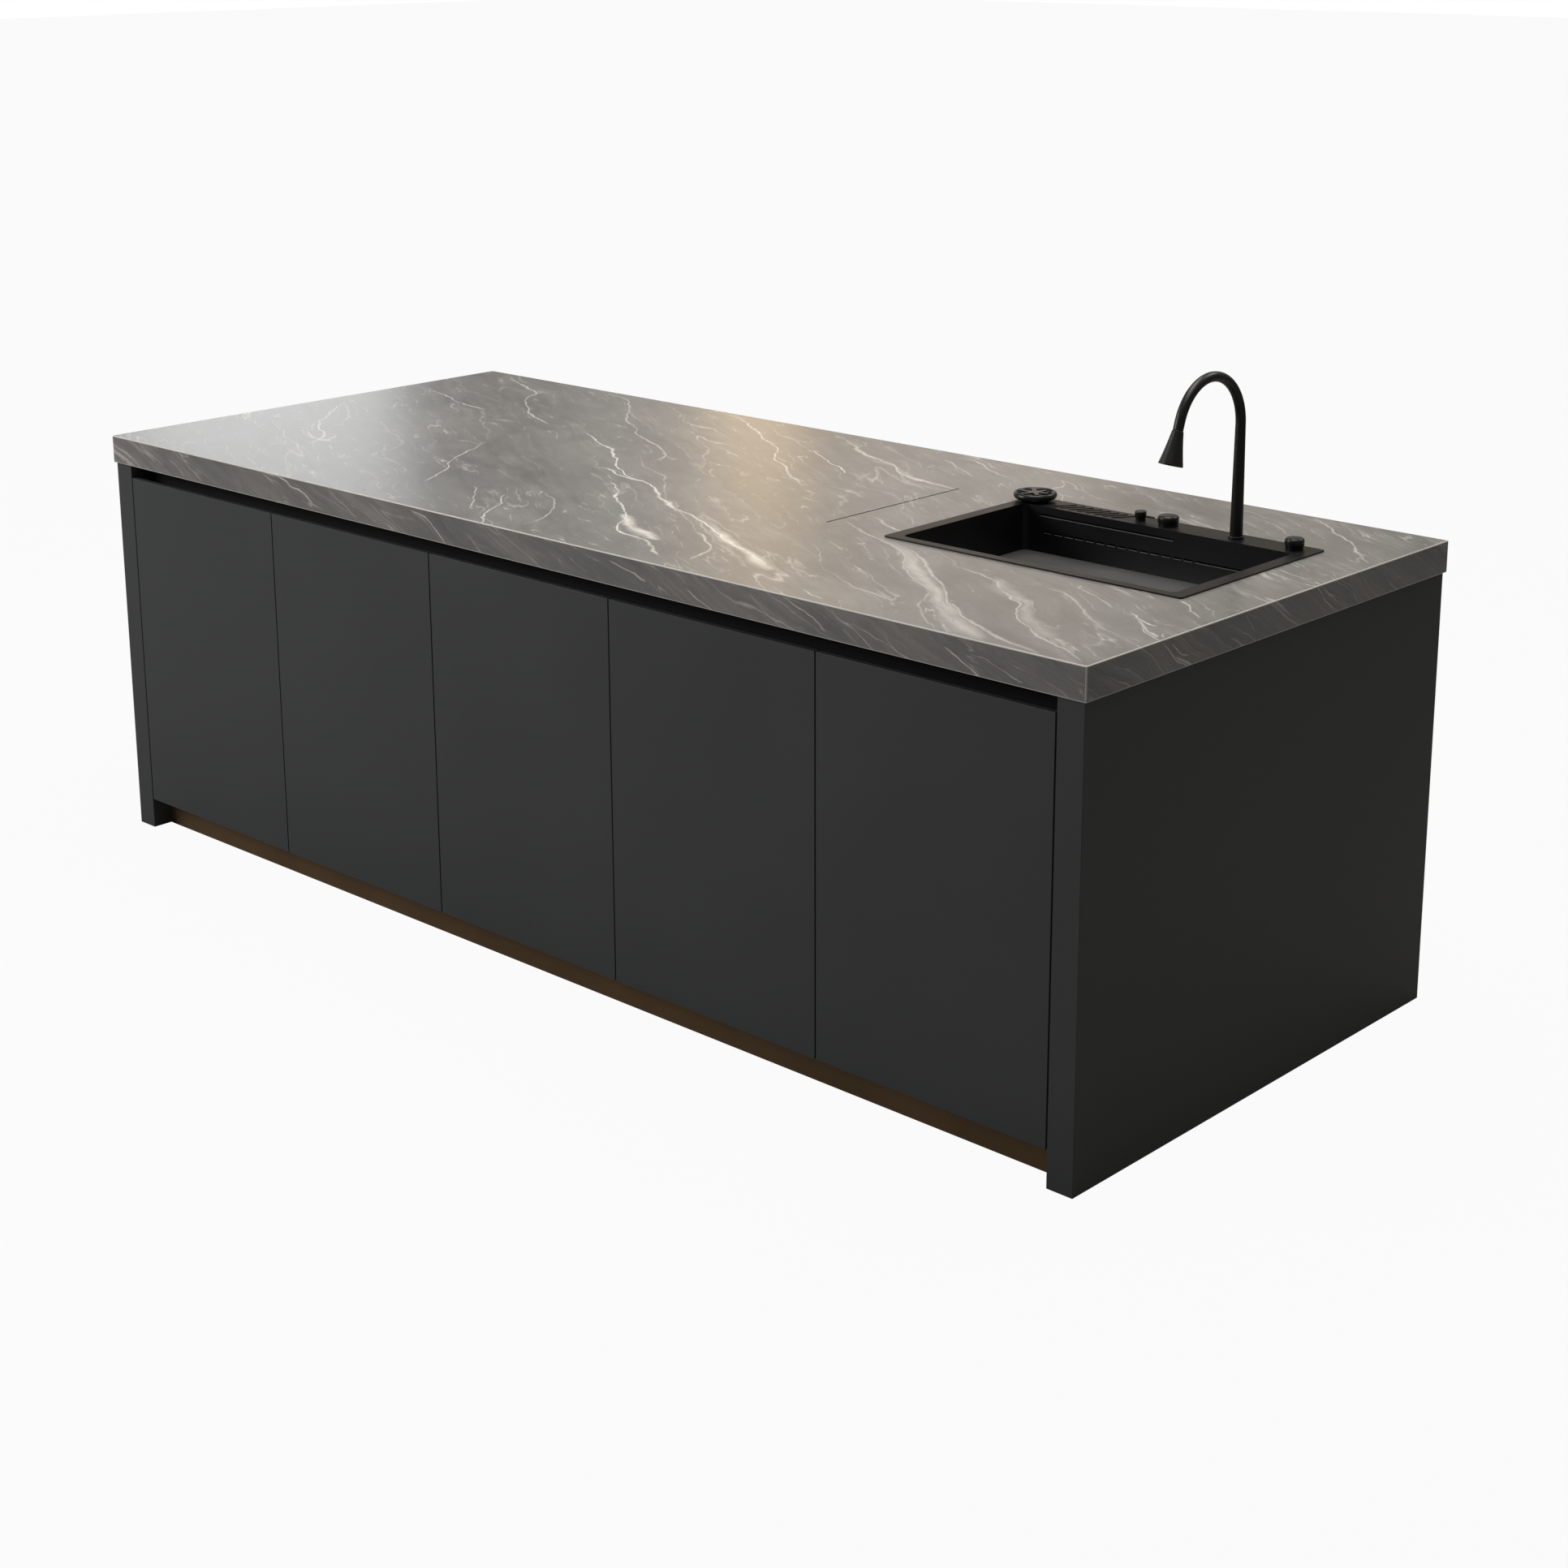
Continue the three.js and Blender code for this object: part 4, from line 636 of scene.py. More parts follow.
SLOT_FINISHES = {
    "worktop_stone": STONE,
    "birch_ply": BIRCH_PLY,
    "carcass_board": MELAMINE,
    "finger_channel_black": BLACK_ANODISED,
    "charcoal_matt": CHARCOAL_LACQUER,
    "bronze_plinth": BRONZE_ANODISED,
    "hinge_nickel": NICKEL,
    "sink_black": BLACK_STEEL,
    "tray_grey": GREY_STEEL,
    "waste_steel": POLISHED_STEEL,
    "trap_plastic": POLYPROPYLENE,
    "tap_black": BLACK_BRASS,
    "rinser_gloss": GLOSS_BLACK,
    "hose_rubber": HOSE_BRAID,
}

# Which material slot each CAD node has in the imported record, and which body carries it.
SLOTS = {row["node"]: row["material_slot"] for row in frame["record"]["subparts"]}
BODIES = {node: body_of(frame["nodes"][node])[0] for node in SLOTS}


# ---- mesh making


def filleted(corners: Sequence[Triple], steps: int = 6) -> np.ndarray:
    """Softens an open outline: each corner c becomes (1 - t)^2 a + 2 t (1 - t) c + t^2 b, with a and b on its legs.

    Args:
        corners: (radius, height, how far from the corner its arc starts), in millimetres.
        steps: points of each arc.

    Returns:
        The outline's (radius, height) rows, in metres.
    """
    table = np.array(corners, float)
    middle, reach = table[1:-1, :2], table[1:-1, 2:]
    before, after = table[:-2, :2] - middle, table[2:, :2] - middle
    start = middle + before / np.linalg.norm(before, axis=1, keepdims=True) * reach
    end = middle + after / np.linalg.norm(after, axis=1, keepdims=True) * reach
    t = np.linspace(0, 1, steps)[None, :, None]
    arcs = (1 - t) ** 2 * start[:, None] + 2 * t * (1 - t) * middle[:, None] + t**2 * end[:, None]
    return np.concatenate([table[:1, :2], arcs.reshape(-1, 2), table[-1:, :2]]) * MM


def revolved(
    outline: np.ndarray,
    at: Sequence[float],
    axis: Sequence[float] = (0, 0, 1),
    sides: int = 72,
    lobes: np.ndarray | None = None,
) -> np.ndarray:
    """Turns an outline about an axis: p = at + r cos a e1 + r sin a e2 + h axis.

    Args:
        outline: (radius, height) rows.
        at: where the axis starts.
        axis: its direction.
        sides: points around.
        lobes: factors on the radius, a row for each outline point and a column for each side.

    Returns:
        Points (rows, sides, 3).
    """
    up = np.array(axis, float) / np.linalg.norm(axis)
    side = np.cross((0, 1, 0) if abs(up[1]) < 0.9 else (0, 0, 1), up)
    side /= np.linalg.norm(side)
    angle = np.linspace(0, 2 * np.pi, sides, endpoint=False)[:, None]
    ring = np.cos(angle) * side + np.sin(angle) * np.cross(up, side)
    radius = outline[:, :1] * (1 if lobes is None else lobes)
    radius = np.broadcast_to(radius, (len(outline), sides))
    return np.array(at) + radius[..., None] * ring + outline[:, 1][:, None, None] * up


class Shape:
    """Gathers sheets of quads, which become one closed piece at the origin."""

    def __init__(self) -> None:
        """Starts empty."""
        self._points: list[np.ndarray] = []
        self._quads: list[np.ndarray] = []
        self._count = 0

    def sheet(self, points: np.ndarray, wrap: bool = True) -> "Shape":
        """Adds quads between neighbouring rows and columns of points.

        Args:
            points: array (rows, columns, 3), in metres.
            wrap: joins the last column to the first.

        Returns:
            This shape.
        """
        rows, columns = points.shape[:2]
        number = np.arange(rows * columns).reshape(rows, columns) + self._count
        here = number if wrap else number[:, :-1]
        beside = np.roll(number, -1, axis=1) if wrap else number[:, 1:]
        quads = np.stack([here[:-1], beside[:-1], beside[1:], here[1:]], axis=-1)
        return self._take(points.reshape(-1, 3), quads.reshape(-1, 4))

    def cells(self, xs: Sequence[float], ys: Sequence[float], zs: Sequence[float], filled: np.ndarray) -> "Shape":
        """Adds the skin of the filled cells of a lattice: a quad wherever a filled cell meets an empty one.

        Args:
            xs: the lattice's planes across X, in metres.
            ys: its planes across Y.
            zs: its planes across Z.
            filled: which cells are solid, one fewer each way than the planes.

        Returns:
            This shape.
        """
        padded = np.pad(filled, 1)
        grid = np.stack(np.meshgrid(xs, ys, zs, indexing="ij"), axis=-1)
        number = np.arange(grid.size // 3).reshape(grid.shape[:3]) + self._count
        quads = []
        for axis in range(3):
            others = [a for a in range(3) if a != axis]
            change = np.diff(padded.astype(int), axis=axis) != 0
            trim = [slice(1, -1)] * 3
            trim[axis] = slice(None)
            at = np.argwhere(change[tuple(trim)])
            corners = []
            for first, second in ((0, 0), (1, 0), (1, 1), (0, 1)):
                spot = at.copy()
                spot[:, others[0]] += first
                spot[:, others[1]] += second
                corners.append(number[tuple(spot.T)])
            quads.append(np.stack(corners, axis=-1))
        return self._take(grid.reshape(-1, 3), np.concatenate(quads))

    def block(self, low: Sequence[float], high: Sequence[float]) -> "Shape":
        """Adds one rectangular solid between its lowest and highest corners, in metres."""
        xs, ys, zs = zip(low, high)
        return self.cells(xs, ys, zs, np.ones((1, 1, 1), bool))

    def _take(self, points: np.ndarray, quads: np.ndarray) -> "Shape":
        """Keeps points and the quads between them.

        Args:
            points: rows of points.
            quads: rows of four point numbers, counted from the first point of the shape.

        Returns:
            This shape.
        """
        self._points.append(points)
        self._quads.append(quads)
        self._count += len(points)
        return self

    def mesh(self, name: str) -> bpy.types.Mesh:
        """Welds the sheets and turns their faces outwards.

        Args:
            name: the mesh's name.

        Returns:
            The mesh.
        """
        raw = bpy.data.meshes.new(name)
        raw.from_pydata(np.concatenate(self._points).tolist(), [], np.concatenate(self._quads).tolist())
        solid = bmesh.new()
        solid.from_mesh(raw)
        bmesh.ops.remove_doubles(solid, verts=solid.verts, dist=WELD)
        loose = [vert for vert in solid.verts if not vert.link_faces]
        bmesh.ops.delete(solid, geom=loose, context="VERTS")
        bmesh.ops.recalc_face_normals(solid, faces=solid.faces)
        return shaded(solid, raw)


def shaded(solid: bmesh.types.BMesh, mesh: bpy.types.Mesh) -> bpy.types.Mesh:
    """Puts a solid into a mesh, smooth between its sharp edges.

    Args:
        solid: the solid, which is freed.
        mesh: the mesh that takes it.

    Returns:
        The mesh.
    """
    solid.to_mesh(mesh)
    solid.free()
    mesh.shade_smooth()
    mesh.set_sharp_from_angle(angle=SHARP)
    return mesh


def linked(name: str, data: bpy.types.ID) -> bpy.types.Object:
    """Makes an object and links it to the scene.

    Args:
        name: its name.
        data: its mesh, light or camera.

    Returns:
        The object.
    """
    made = bpy.data.objects.new(name, data)
    bpy.context.scene.collection.objects.link(made)
    return made


@dataclass(frozen=True)
class Edge:
    """How far a piece's edges are rounded."""

    width_mm: float  # How much the rounding takes off each face.
    steps: int = 3  # Facets across the rounding.
    by_weight: bool = False  # Only edges with a bevel weight are rounded, in that share.
    material: int = -1  # Which of the piece's materials the rounding shows, or -1 for that of its neighbours.

    def put_on(self, piece: bpy.types.Object) -> None:
        """Adds the rounding to a piece.

        Args:
            piece: the piece.
        """
        bevel = piece.modifiers.new("rounded_edges", "BEVEL")
        bevel.width = self.width_mm * MM
        bevel.segments = self.steps
        bevel.limit_method = "WEIGHT" if self.by_weight else "ANGLE"
        bevel.angle_limit = SHARP
        bevel.harden_normals = True
        bevel.material = self.material


def place(
    name: str, mesh: bpy.types.Mesh, slot: str, body: str | None, nodes: Sequence[str] = (), edge: Edge | None = None
) -> bpy.types.Object:
    """Makes a mesh a finished piece: its material, its rounded edges, the body it rides on and what it stands for.

    Args:
        name: the piece's name.
        mesh: its mesh, in the island's own coordinates.
        slot: the record's material slot.
        body: the CAD body that carries it, or None if it is to be blended between two.
        nodes: the CAD nodes that it replaces.
        edge: the rounding of its edges.

    Returns:
        The piece.
    """
    piece = linked(name, mesh)
    mesh.materials.clear()
    mesh.materials.append(SLOT_FINISHES[slot].material())
    if edge is not None:
        edge.put_on(piece)
    if body is not None:
        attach(piece, body)
    if nodes:
        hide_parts(*nodes)
    stands_for = ", ".join(nodes) or "nothing"
    LOG.info("%s: %d faces, rides on %s, replaces %s", name, len(mesh.polygons), body or "two bodies", stands_for)
    return piece


def refined(node: str, edge: Edge) -> bpy.types.Object:
    """Finishes a CAD node's own solid: welded, without the cuts across its flat faces, and with rounded edges.

    Args:
        node: the CAD node.
        edge: the rounding of its edges.

    Returns:
        The piece that stands for it.
    """
    source = frame["nodes"][node]
    solid = bmesh.new()
    solid.from_mesh(source.data)
    solid.transform(source.matrix_world)
    bmesh.ops.remove_doubles(solid, verts=solid.verts, dist=WELD)
    bmesh.ops.dissolve_limit(
        solid, angle_limit=FLAT, verts=solid.verts, edges=solid.edges, use_dissolve_boundaries=False
    )
    name = f"{node}_finished"
    mesh = shaded(solid, bpy.data.meshes.new(name))
    return place(name, mesh, SLOTS[node], BODIES[node], [node], edge)


# ---- worktop


@dataclass(frozen=True)
class Worktop:
    """The stone: a thin slab with deep edges mitred on, an opening for the sink and a milled groove."""

    slab: float = 20 * MM  # Thickness of the slab and of its edges.
    depth: float = 60 * MM  # Depth of the edges.
    opening: Area = (0.559, 1.199, -0.115, 0.315)  # The sink's opening, x0, x1, y0, y1.
    groove: Area = (0.38975, 0.39425, -0.107, 0.286)  # The groove, x0, x1, y0, y1.
    groove_depth: float = 6 * MM  # Its depth.
    board: Edge = Edge(0.5)  # Rounding of the board under it.
    arris_mm: float = 2.2  # Rounding of the outer edges, which shows the pale painted highlight.
    inner_share: float = 0.2  # Share of that rounding on the other edges.
    touch: float = 1e-5  # A point this close to an outer face is on it.
    least_bend: float = 0.5  # Bend of the flattest edge that is rounded, in radians.

    def build(self) -> None:
        """Makes the stone as one piece with eased edges, and finishes the board under it."""
        low, high = (np.array(corner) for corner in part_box("worktop_slab"))
        inside = (low[0] + self.slab, high[0] - self.slab, low[1] + self.slab, high[1] - self.slab)
        xs = sorted({low[0], inside[0], *self.groove[:2], *self.opening[:2], inside[1], high[0]})
        ys = sorted({low[1], inside[2], *self.groove[2:], *self.opening[2:], inside[3], high[1]})
        zs = [high[2] - self.depth, high[2] - self.slab, high[2] - self.groove_depth, high[2]]
        middle = [(np.array(planes[1:]) + np.array(planes[:-1])) / 2 for planes in (xs, ys, zs)]
        x, y, z = np.meshgrid(*middle, indexing="ij")

        def within(area: Area) -> np.ndarray:
            """Which cells lie inside an area x0, x1, y0, y1."""
            return (x > area[0]) & (x < area[1]) & (y > area[2]) & (y < area[3])

        filled = ~within(inside) | (z > zs[1])
        filled &= ~within(self.opening)
        filled &= ~(within(self.groove) & (z > zs[2]))
        mesh = Shape().cells(xs, ys, zs, filled).mesh("worktop_stone")
        self._weigh(mesh, low, high, zs[0])
        nodes = ["worktop_slab", *(f"worktop_apron_{side}" for side in ("front", "back", "left", "right"))]
        # The rounding shows the stone's second material: a pale painted highlight along the edges.
        arris = Edge(self.arris_mm, 4, True, 1)
        stone = place("worktop_stone", mesh, "worktop_stone", BODIES["worktop_slab"], nodes, arris)
        stone.data.materials.append(PAINTED_HIGHLIGHT_ARRIS.material())
        refined("worktop_core", self.board)

    def _weigh(self, mesh: bpy.types.Mesh, low: np.ndarray, high: np.ndarray, bottom: float) -> None:
        """Gives each edge its share of the rounding: all of it on two outer faces, none at the groove.

        Args:
            mesh: the stone's mesh.
            low: the worktop's lowest corner.
            high: its highest corner.
            bottom: height of its lower edge.
        """
        points = np.empty(len(mesh.vertices) * 3)
        mesh.vertices.foreach_get("co", points)
        ends = np.empty(len(mesh.edges) * 2, int)
        mesh.edges.foreach_get("vertices", ends)
        points, ends = points.reshape(-1, 3), ends.reshape(-1, 2)
        lowest = np.array([low[0], low[1], bottom])
        outer = np.concatenate([np.abs(points - face) < self.touch for face in (lowest, high)], axis=1)
        shared = (outer[ends[:, 0]] & outer[ends[:, 1]]).sum(axis=1)
        solid = bmesh.new()
        solid.from_mesh(mesh)
        bend = np.array([edge.calc_face_angle(0.0) for edge in solid.edges])
        solid.free()
        x0, x1, y0, y1 = self.groove
        spots = points[ends]
        cut = (np.abs(spots[..., 0] - (x0 + x1) / 2) < x1 - x0) & (spots[..., 1] > y0 - MM) & (spots[..., 1] < y1 + MM)
        weight = np.where(shared >= 2, 1.0, self.inner_share) * (bend > self.least_bend) * ~cut.all(axis=1)
        mesh.attributes.new("bevel_weight_edge", "FLOAT", "EDGE").data.foreach_set("value", weight)


# ---- cabinet


class Side(Enum):
    """The side of a door that its hinges are on."""

    LEFT = 1
    RIGHT = -1


@dataclass(frozen=True)
class Hinge:
    """The pressed cup of a concealed hinge, with its flange, its wing and its screws."""

    cup_mm: float = 15.4  # Radius of the cup's hole.
    depth_mm: float = 10.9  # Its depth.
    flange_mm: float = 20.2  # Radius of the flange.
    wing_mm: float = 27.1  # Half length of the wing.
    wing_width_mm: float = 6.1  # Half width of the wing.
    proud_mm: float = 1.15  # Thickness of flange and wing.
    setback_mm: float = 22.5  # Distance of the cup's centre from the door's edge.
    inset_mm: float = 100.0  # Distance of the hinges from the door's ends.
    wall_mm: float = 1.0  # Thickness of the cup's lining.
    wing_gap_mm: float = 1.5  # Distance of the wing from the cup's hole.
    screw_inset_mm: float = 5.0  # Distance of the screws from the wing's ends.
    cad_proud_mm: float = 1.0  # How far the CAD door's own flanges stand out of its back.
    recess_rows: int = 7  # How many points of a screw's outline its cross recess takes.

    def cup(self, shape: Shape, at: np.ndarray) -> None:
        """Adds a cup's lining and wing to a shape.

        Args:
            shape: the shape.
            at: the cup's centre on the door's back.
        """
        wall = self.cup_mm - self.wall_mm
        outline = filleted(
            [
                (0, -self.depth_mm, 0),
                (self.cup_mm, -self.depth_mm, 1.5),
                (self.cup_mm, 0, 0),
                (self.flange_mm, 0, 0),
                (self.flange_mm, self.proud_mm, 0.4),
                (wall + 0.8, self.proud_mm, 0.6),
                (wall, 0, 0.5),
                (wall, 1.4 - self.depth_mm, 2.5),
                (0, 1.0 - self.depth_mm, 0),
            ]
        )
        shape.sheet(revolved(outline, at, (0, 1, 0), 56))
        reach = np.array([self.wing_width_mm, 0, self.wing_mm]) * MM
        for sign in (-1, 1):
            ends = np.sort([sign * (self.cup_mm + self.wing_gap_mm) * MM, sign * reach[2]])
            shape.block(at + (-reach[0], 0, ends[0]), at + (reach[0], self.proud_mm * MM, ends[1]))

    def screw(self, shape: Shape, at: np.ndarray, axis: Triple) -> None:
        """Adds a screw's domed head with a cross recess, whose radius follows 0.42 + 0.58 |cos 2a|^3.

        Args:
            shape: the shape.
            at: the middle of the seat.
            axis: direction of the head.
        """
        outline = filleted(
            [(0, 0, 0), (3.6, 0, 0), (3.4, 0.9, 0.4), (2.4, 1.5, 0.3), (1.9, 1.6, 0), (1.4, 0.5, 0), (0, 0.4, 0)], 3
        )
        sides = 32
        angle = np.linspace(0, 2 * np.pi, sides, endpoint=False)
        cross = 0.42 + 0.58 * np.abs(np.cos(2 * angle)) ** 3
        inner = np.arange(len(outline)) >= len(outline) - self.recess_rows
        shape.sheet(revolved(outline, at, axis, sides, np.where(inner[:, None], cross, 1.0)))


@dataclass(frozen=True)
class Cabinet:
    """Boards, end panels, back panels, plinths and the finger channel."""

    lacquered: Edge = Edge(1.0, 4)  # Rounding of the lacquered panels.
    board: Edge = Edge(0.6)  # Rounding of the melamine boards' edge bands.
    metal: Edge = Edge(0.5)  # Rounding of folded and extruded metal.

    def build(self) -> None:
        """Finishes each fixed piece of the cabinet."""
        for node, slot in SLOTS.items():
            if node.startswith("door_"):
                continue
            if slot == "charcoal_matt":
                refined(node, self.lacquered)
            elif slot in ("carcass_board", "birch_ply") and node != "worktop_core":
                refined(node, self.board)
            elif slot in ("bronze_plinth", "finger_channel_black"):
                refined(node, self.metal)


@dataclass(frozen=True)
class Doors:
    """The door leaves and their hinges."""

    # Hinge side of each door, from the left.
    sides: tuple[Side, ...] = (Side.LEFT, Side.RIGHT, Side.LEFT, Side.LEFT, Side.RIGHT)
    hinge: Hinge = Hinge()  # The hinge.
    arris: Edge = Edge(0.6, 3)  # Rounding of the leaves.
    arm: Edge = Edge(0.7)  # Rounding of the hinges' arms.

    def build(self) -> None:
        """Makes each door with its cups, and the arms that hold it."""
        for number, side in enumerate(self.sides, start=1):
            self._door(number, side)
        for node, slot in SLOTS.items():
            if slot == "hinge_nickel":
                refined(node, self.arm)

    def _door(self, number: int, side: Side) -> None:
        """Makes one door.

        Args:
            number: its number, from the left.
            side: its hinge side.
        """
        node = f"door_{number}"
        refined(node, self.arris)
        low, high = (np.array(corner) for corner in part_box(node))
        edge = low[0] if side is Side.LEFT else high[0]
        back = high[1] - self.hinge.cad_proud_mm * MM
        cups, screws = Shape(), Shape()
        for height in (low[2] + self.hinge.inset_mm * MM, high[2] - self.hinge.inset_mm * MM):
            at = np.array([edge + side.value * self.hinge.setback_mm * MM, back, height])
            self.hinge.cup(cups, at)
            for sign in (-1, 1):
                seat = at + (0, self.hinge.proud_mm * MM, sign * (self.hinge.wing_mm - self.hinge.screw_inset_mm) * MM)
                self.hinge.screw(screws, seat, (0, 1, 0))
        for kind, shape in (("cups", cups), ("screws", screws)):
            name = f"hinge_{kind}_{number}"
            place(name, shape.mesh(name), "hinge_nickel", node)


# ---- sink


@dataclass(frozen=True)
class Sink:
    """The pressed sink, its outlet, its draining tray and its waste."""

    back: float = 0.262  # The bowl's back wall, along Y.
    upper: Pair = (0.6125, 0.9235)  # The upper outlet slot, x0 and x1.
    upper_height: float = 0.886  # Its middle.
    lower: float = 0.6245  # Start of the lower row.
    lower_height: float = 0.853  # Its middle.
    dash: float = 19 * MM  # Length of a dash.
    pitch: float = 25 * MM  # Distance between dashes.
    dashes: int = 14  # How many there are.
    long_slot: float = 103 * MM  # Length of the slot that ends the row.
    slot_height: float = 3.5 * MM  # Height of the slots.
    lip: Pair = (1.3 * MM, 0.9 * MM)  # Height and reach of the lip under a slot; its grey finish is a painted highlight.
    root: float = 0.5 * MM  # How far the lip goes into the wall.
    thick: Edge = Edge(0.8)  # Rounding of the sink and the trap.
    thin: Edge = Edge(0.5)  # Rounding of the smaller pieces.
    lip_edge: Edge = Edge(0.35, 2)  # Rounding of the lips.

    def build(self) -> None:
        """Finishes the sink's pieces and adds the outlet's lips."""
        refined("sink", self.thick)
        for node in ("waterfall_duct", "draining_tray", "waste_body", "waste_plug", "mixer_valve"):
            refined(node, self.thin)
        refined("trap", self.thick)
        self._lips()

    def _lips(self) -> None:
        """Adds a rounded lip along the lower edge of each slot, finished grey as a painted highlight."""
        shape = Shape()
        starts = self.lower + np.arange(self.dashes) * self.pitch
        spans = [(*self.upper, self.upper_height)]
        spans += [(start, start + self.dash, self.lower_height) for start in starts]
        last = self.lower + self.dashes * self.pitch
        spans.append((last, last + self.long_slot, self.lower_height))
        for start, end, height in spans:
            top = height - self.slot_height / 2
            shape.block((start, self.back - self.lip[1], top - self.lip[0]), (end, self.back + self.root, top))
        place("outlet_lips_painted_highlight", shape.mesh("outlet_lips_painted_highlight"), "tray_grey", BODIES["sink"], edge=self.lip_edge)


# ---- tap


@dataclass(frozen=True)
class Tap:
    """The gooseneck tap with its pull-out spray head."""

    x: float = 1.040  # Its place along X.
    y: float = 0.2935  # Its place along Y.
    rim: float = 0.903  # Height of the sink's rim.
    foot: float = 0.9083  # Height of the spout's foot.
    riser: float = 0.2077  # Length of the straight riser.
    bend: float = 0.099  # Radius of the gooseneck.
    turn: float = 162.0  # How far it turns, in degrees.
    end: float = 0.015  # Length of the straight end.
    foot_radius_mm: float = 12.0  # Radius at the foot.
    radius_mm: float = 9.4  # Radius at the top.
    socket_mm: float = 7.0  # Radius of the socket in the end.
    socket_depth_mm: float = 14.0  # Its depth.
    # Radius of the spray head's neck, how much wider its mouth is, and the length of its cone.
    head_mm: Triple = (10.3, 12.2, 61.7)
    gap_mm: float = 0.3  # Gap between the spout and the head.
    plate_mm: float = 59.4  # Distance of the spray plate's nozzles from the spout's end.
    ring_mm: float = 5.2  # Distance between rings of nozzles.
    hose_mm: float = 4.5  # Radius of the hose.
    hose_span_mm: Pair = (-13.6, -7.2)  # Where the hose starts and ends, from the spout's end.

    @property
    def length(self) -> float:
        """Length of the centre line up to the end of the spout."""
        return self.riser + self.bend * math.radians(self.turn) + self.end

    def tube(self, outline: np.ndarray, sides: int = 64) -> np.ndarray:
        """Carries an outline of (radius, distance) along the centre line.

        The line climbs the riser, turns by a = (s - riser) / bend and goes straight on.

        Args:
            outline: rows of radius and distance s from the foot.
            sides: points around.

        Returns:
            Points (rows, sides, 3).
        """
        radius, s = outline.T
        angle = np.clip((s - self.riser) / self.bend, 0, math.radians(self.turn))
        over = np.maximum(s - self.length + self.end, 0)
        sine, cosine = np.sin(angle), np.cos(angle)
        centre = np.stack(
            [
                np.full_like(s, self.x),
                self.y - self.bend + self.bend * cosine - over * sine,
                self.foot + np.minimum(s, self.riser) + self.bend * sine + over * cosine,
            ],
            axis=-1,
        )
        out = np.stack([np.zeros_like(s), cosine, sine], axis=-1)
        around = np.linspace(0, 2 * np.pi, sides, endpoint=False)[None, :, None]
        ring = np.cos(around) * np.array([1.0, 0, 0]) + np.sin(around) * out[:, None]
        return centre[:, None] + radius[:, None, None] * ring

    def build(self) -> None:
        """Makes the base, the spout, the spray head and the hose."""
        self._base()
        self._spout()
        self._head()
        self._hose()

    def _base(self) -> None:
        """Makes the collar, the shank and the nut under the sink."""
        outline = filleted(
            [
                (0, -46, 0), (11, -46, 0.8), (11, -13, 0), (17, -13, 0.8), (17, -3, 0.5), (11, -3, 0), (11, 0, 0),
                (14.5, 0, 0.3), (14.5, 5, 1.4), (12.6, 5, 0.4), (12.4, 4.7, 0.1), (0, 4.7, 0),
            ]
        )
        mesh = Shape().sheet(revolved(outline, (self.x, self.y, self.rim))).mesh("tap_base_turned")
        place("tap_base_turned", mesh, "tap_black", BODIES["tap_base"], ["tap_base"])

    def _spout(self) -> None:
        """Makes the tapered riser, the gooseneck and the socket in its end."""
        total, riser = self.length / MM, self.riser / MM
        foot = self.foot_radius_mm
        wall = filleted([(0, 0, 0), (foot, 0, 0.7), (foot, 4, 1), (self.radius_mm, riser, 30)])
        bend = np.linspace(riser, total - self.end / MM, 64) * MM
        bend = np.stack([np.full_like(bend, self.radius_mm * MM), bend], axis=-1)
        mouth = filleted(
            [
                (self.radius_mm, total - self.end / MM, 0),
                (self.radius_mm, total, 0.8),
                (self.socket_mm, total, 0.5),
                (self.socket_mm, total - self.socket_depth_mm, 0.4),
                (0, total - self.socket_depth_mm, 0),
            ]
        )
        outline = np.concatenate([wall[:-1], bend, mouth])
        mesh = Shape().sheet(self.tube(outline)).mesh("tap_spout_drawn")
        place("tap_spout_drawn", mesh, "tap_black", BODIES["tap_spout"], ["tap_spout"])

    def _head(self) -> None:
        """Makes the flared head and the spray plate: r = neck + flare (0.75 t + 0.25 t^2) down the cone."""
        start = self.length / MM
        neck, flare, height = self.head_mm
        top = start + self.gap_mm
        t = np.linspace(0.02, 0.95, 40)
        radius = neck + flare * (0.75 * t + 0.25 * t**2)
        cone = np.stack([radius, top + height * t], axis=-1) * MM
        dock = filleted(
            [(0, start - 7, 0), (6.7, start - 7, 0.8), (6.7, top, 0), (10.1, top, 0.5), (10.5, start + 1.5, 0)]
        )
        nozzle = filleted(
            [
                (21.8, start + 58.9, 0),
                (22.4, start + 62, 0.9),
                (18.9, start + 62, 0.9),
                (18.5, start + 59.6, 0.4),
                (0, start + 59.5, 0),
            ]
        )
        outline = np.concatenate([dock[:-1], cone, nozzle[1:]])
        mesh = Shape().sheet(self.tube(outline)).mesh("spray_head_turned")
        place("spray_head_turned", mesh, "tap_black", "spray_head", ["spray_head"])
        self._nubs(start + self.plate_mm)

    def _nubs(self, plate_mm: float) -> None:
        """Adds rings of soft nozzles on the spray plate: ring k holds 6 k of them.

        Args:
            plate_mm: distance of the plate along the centre line.
        """
        plain = self.tube(np.array([[1.0, plate_mm * MM]]), 4)
        middle = plain.mean(axis=(0, 1))
        across, up = (plain[0, 0] - middle), (plain[0, 1] - middle)
        turn = math.radians(self.turn)
        ahead = np.array([0, -math.sin(turn), math.cos(turn)])
        outline = filleted([(0.95, 0, 0), (0.8, 1.3, 0.3), (0.45, 1.3, 0.1), (0.4, 0.9, 0), (0, 0.9, 0)], 3)
        shape = Shape().sheet(revolved(outline, middle, ahead, 12))
        for ring in (1, 2, 3):
            for a in np.arange(6 * ring) / (6 * ring) * 2 * np.pi:
                spot = middle + ring * self.ring_mm * MM * (math.cos(a) * across + math.sin(a) * up)
                shape.sheet(revolved(outline, spot, ahead, 12))
        place("spray_nozzles", shape.mesh("spray_nozzles"), "hose_rubber", "spray_head")

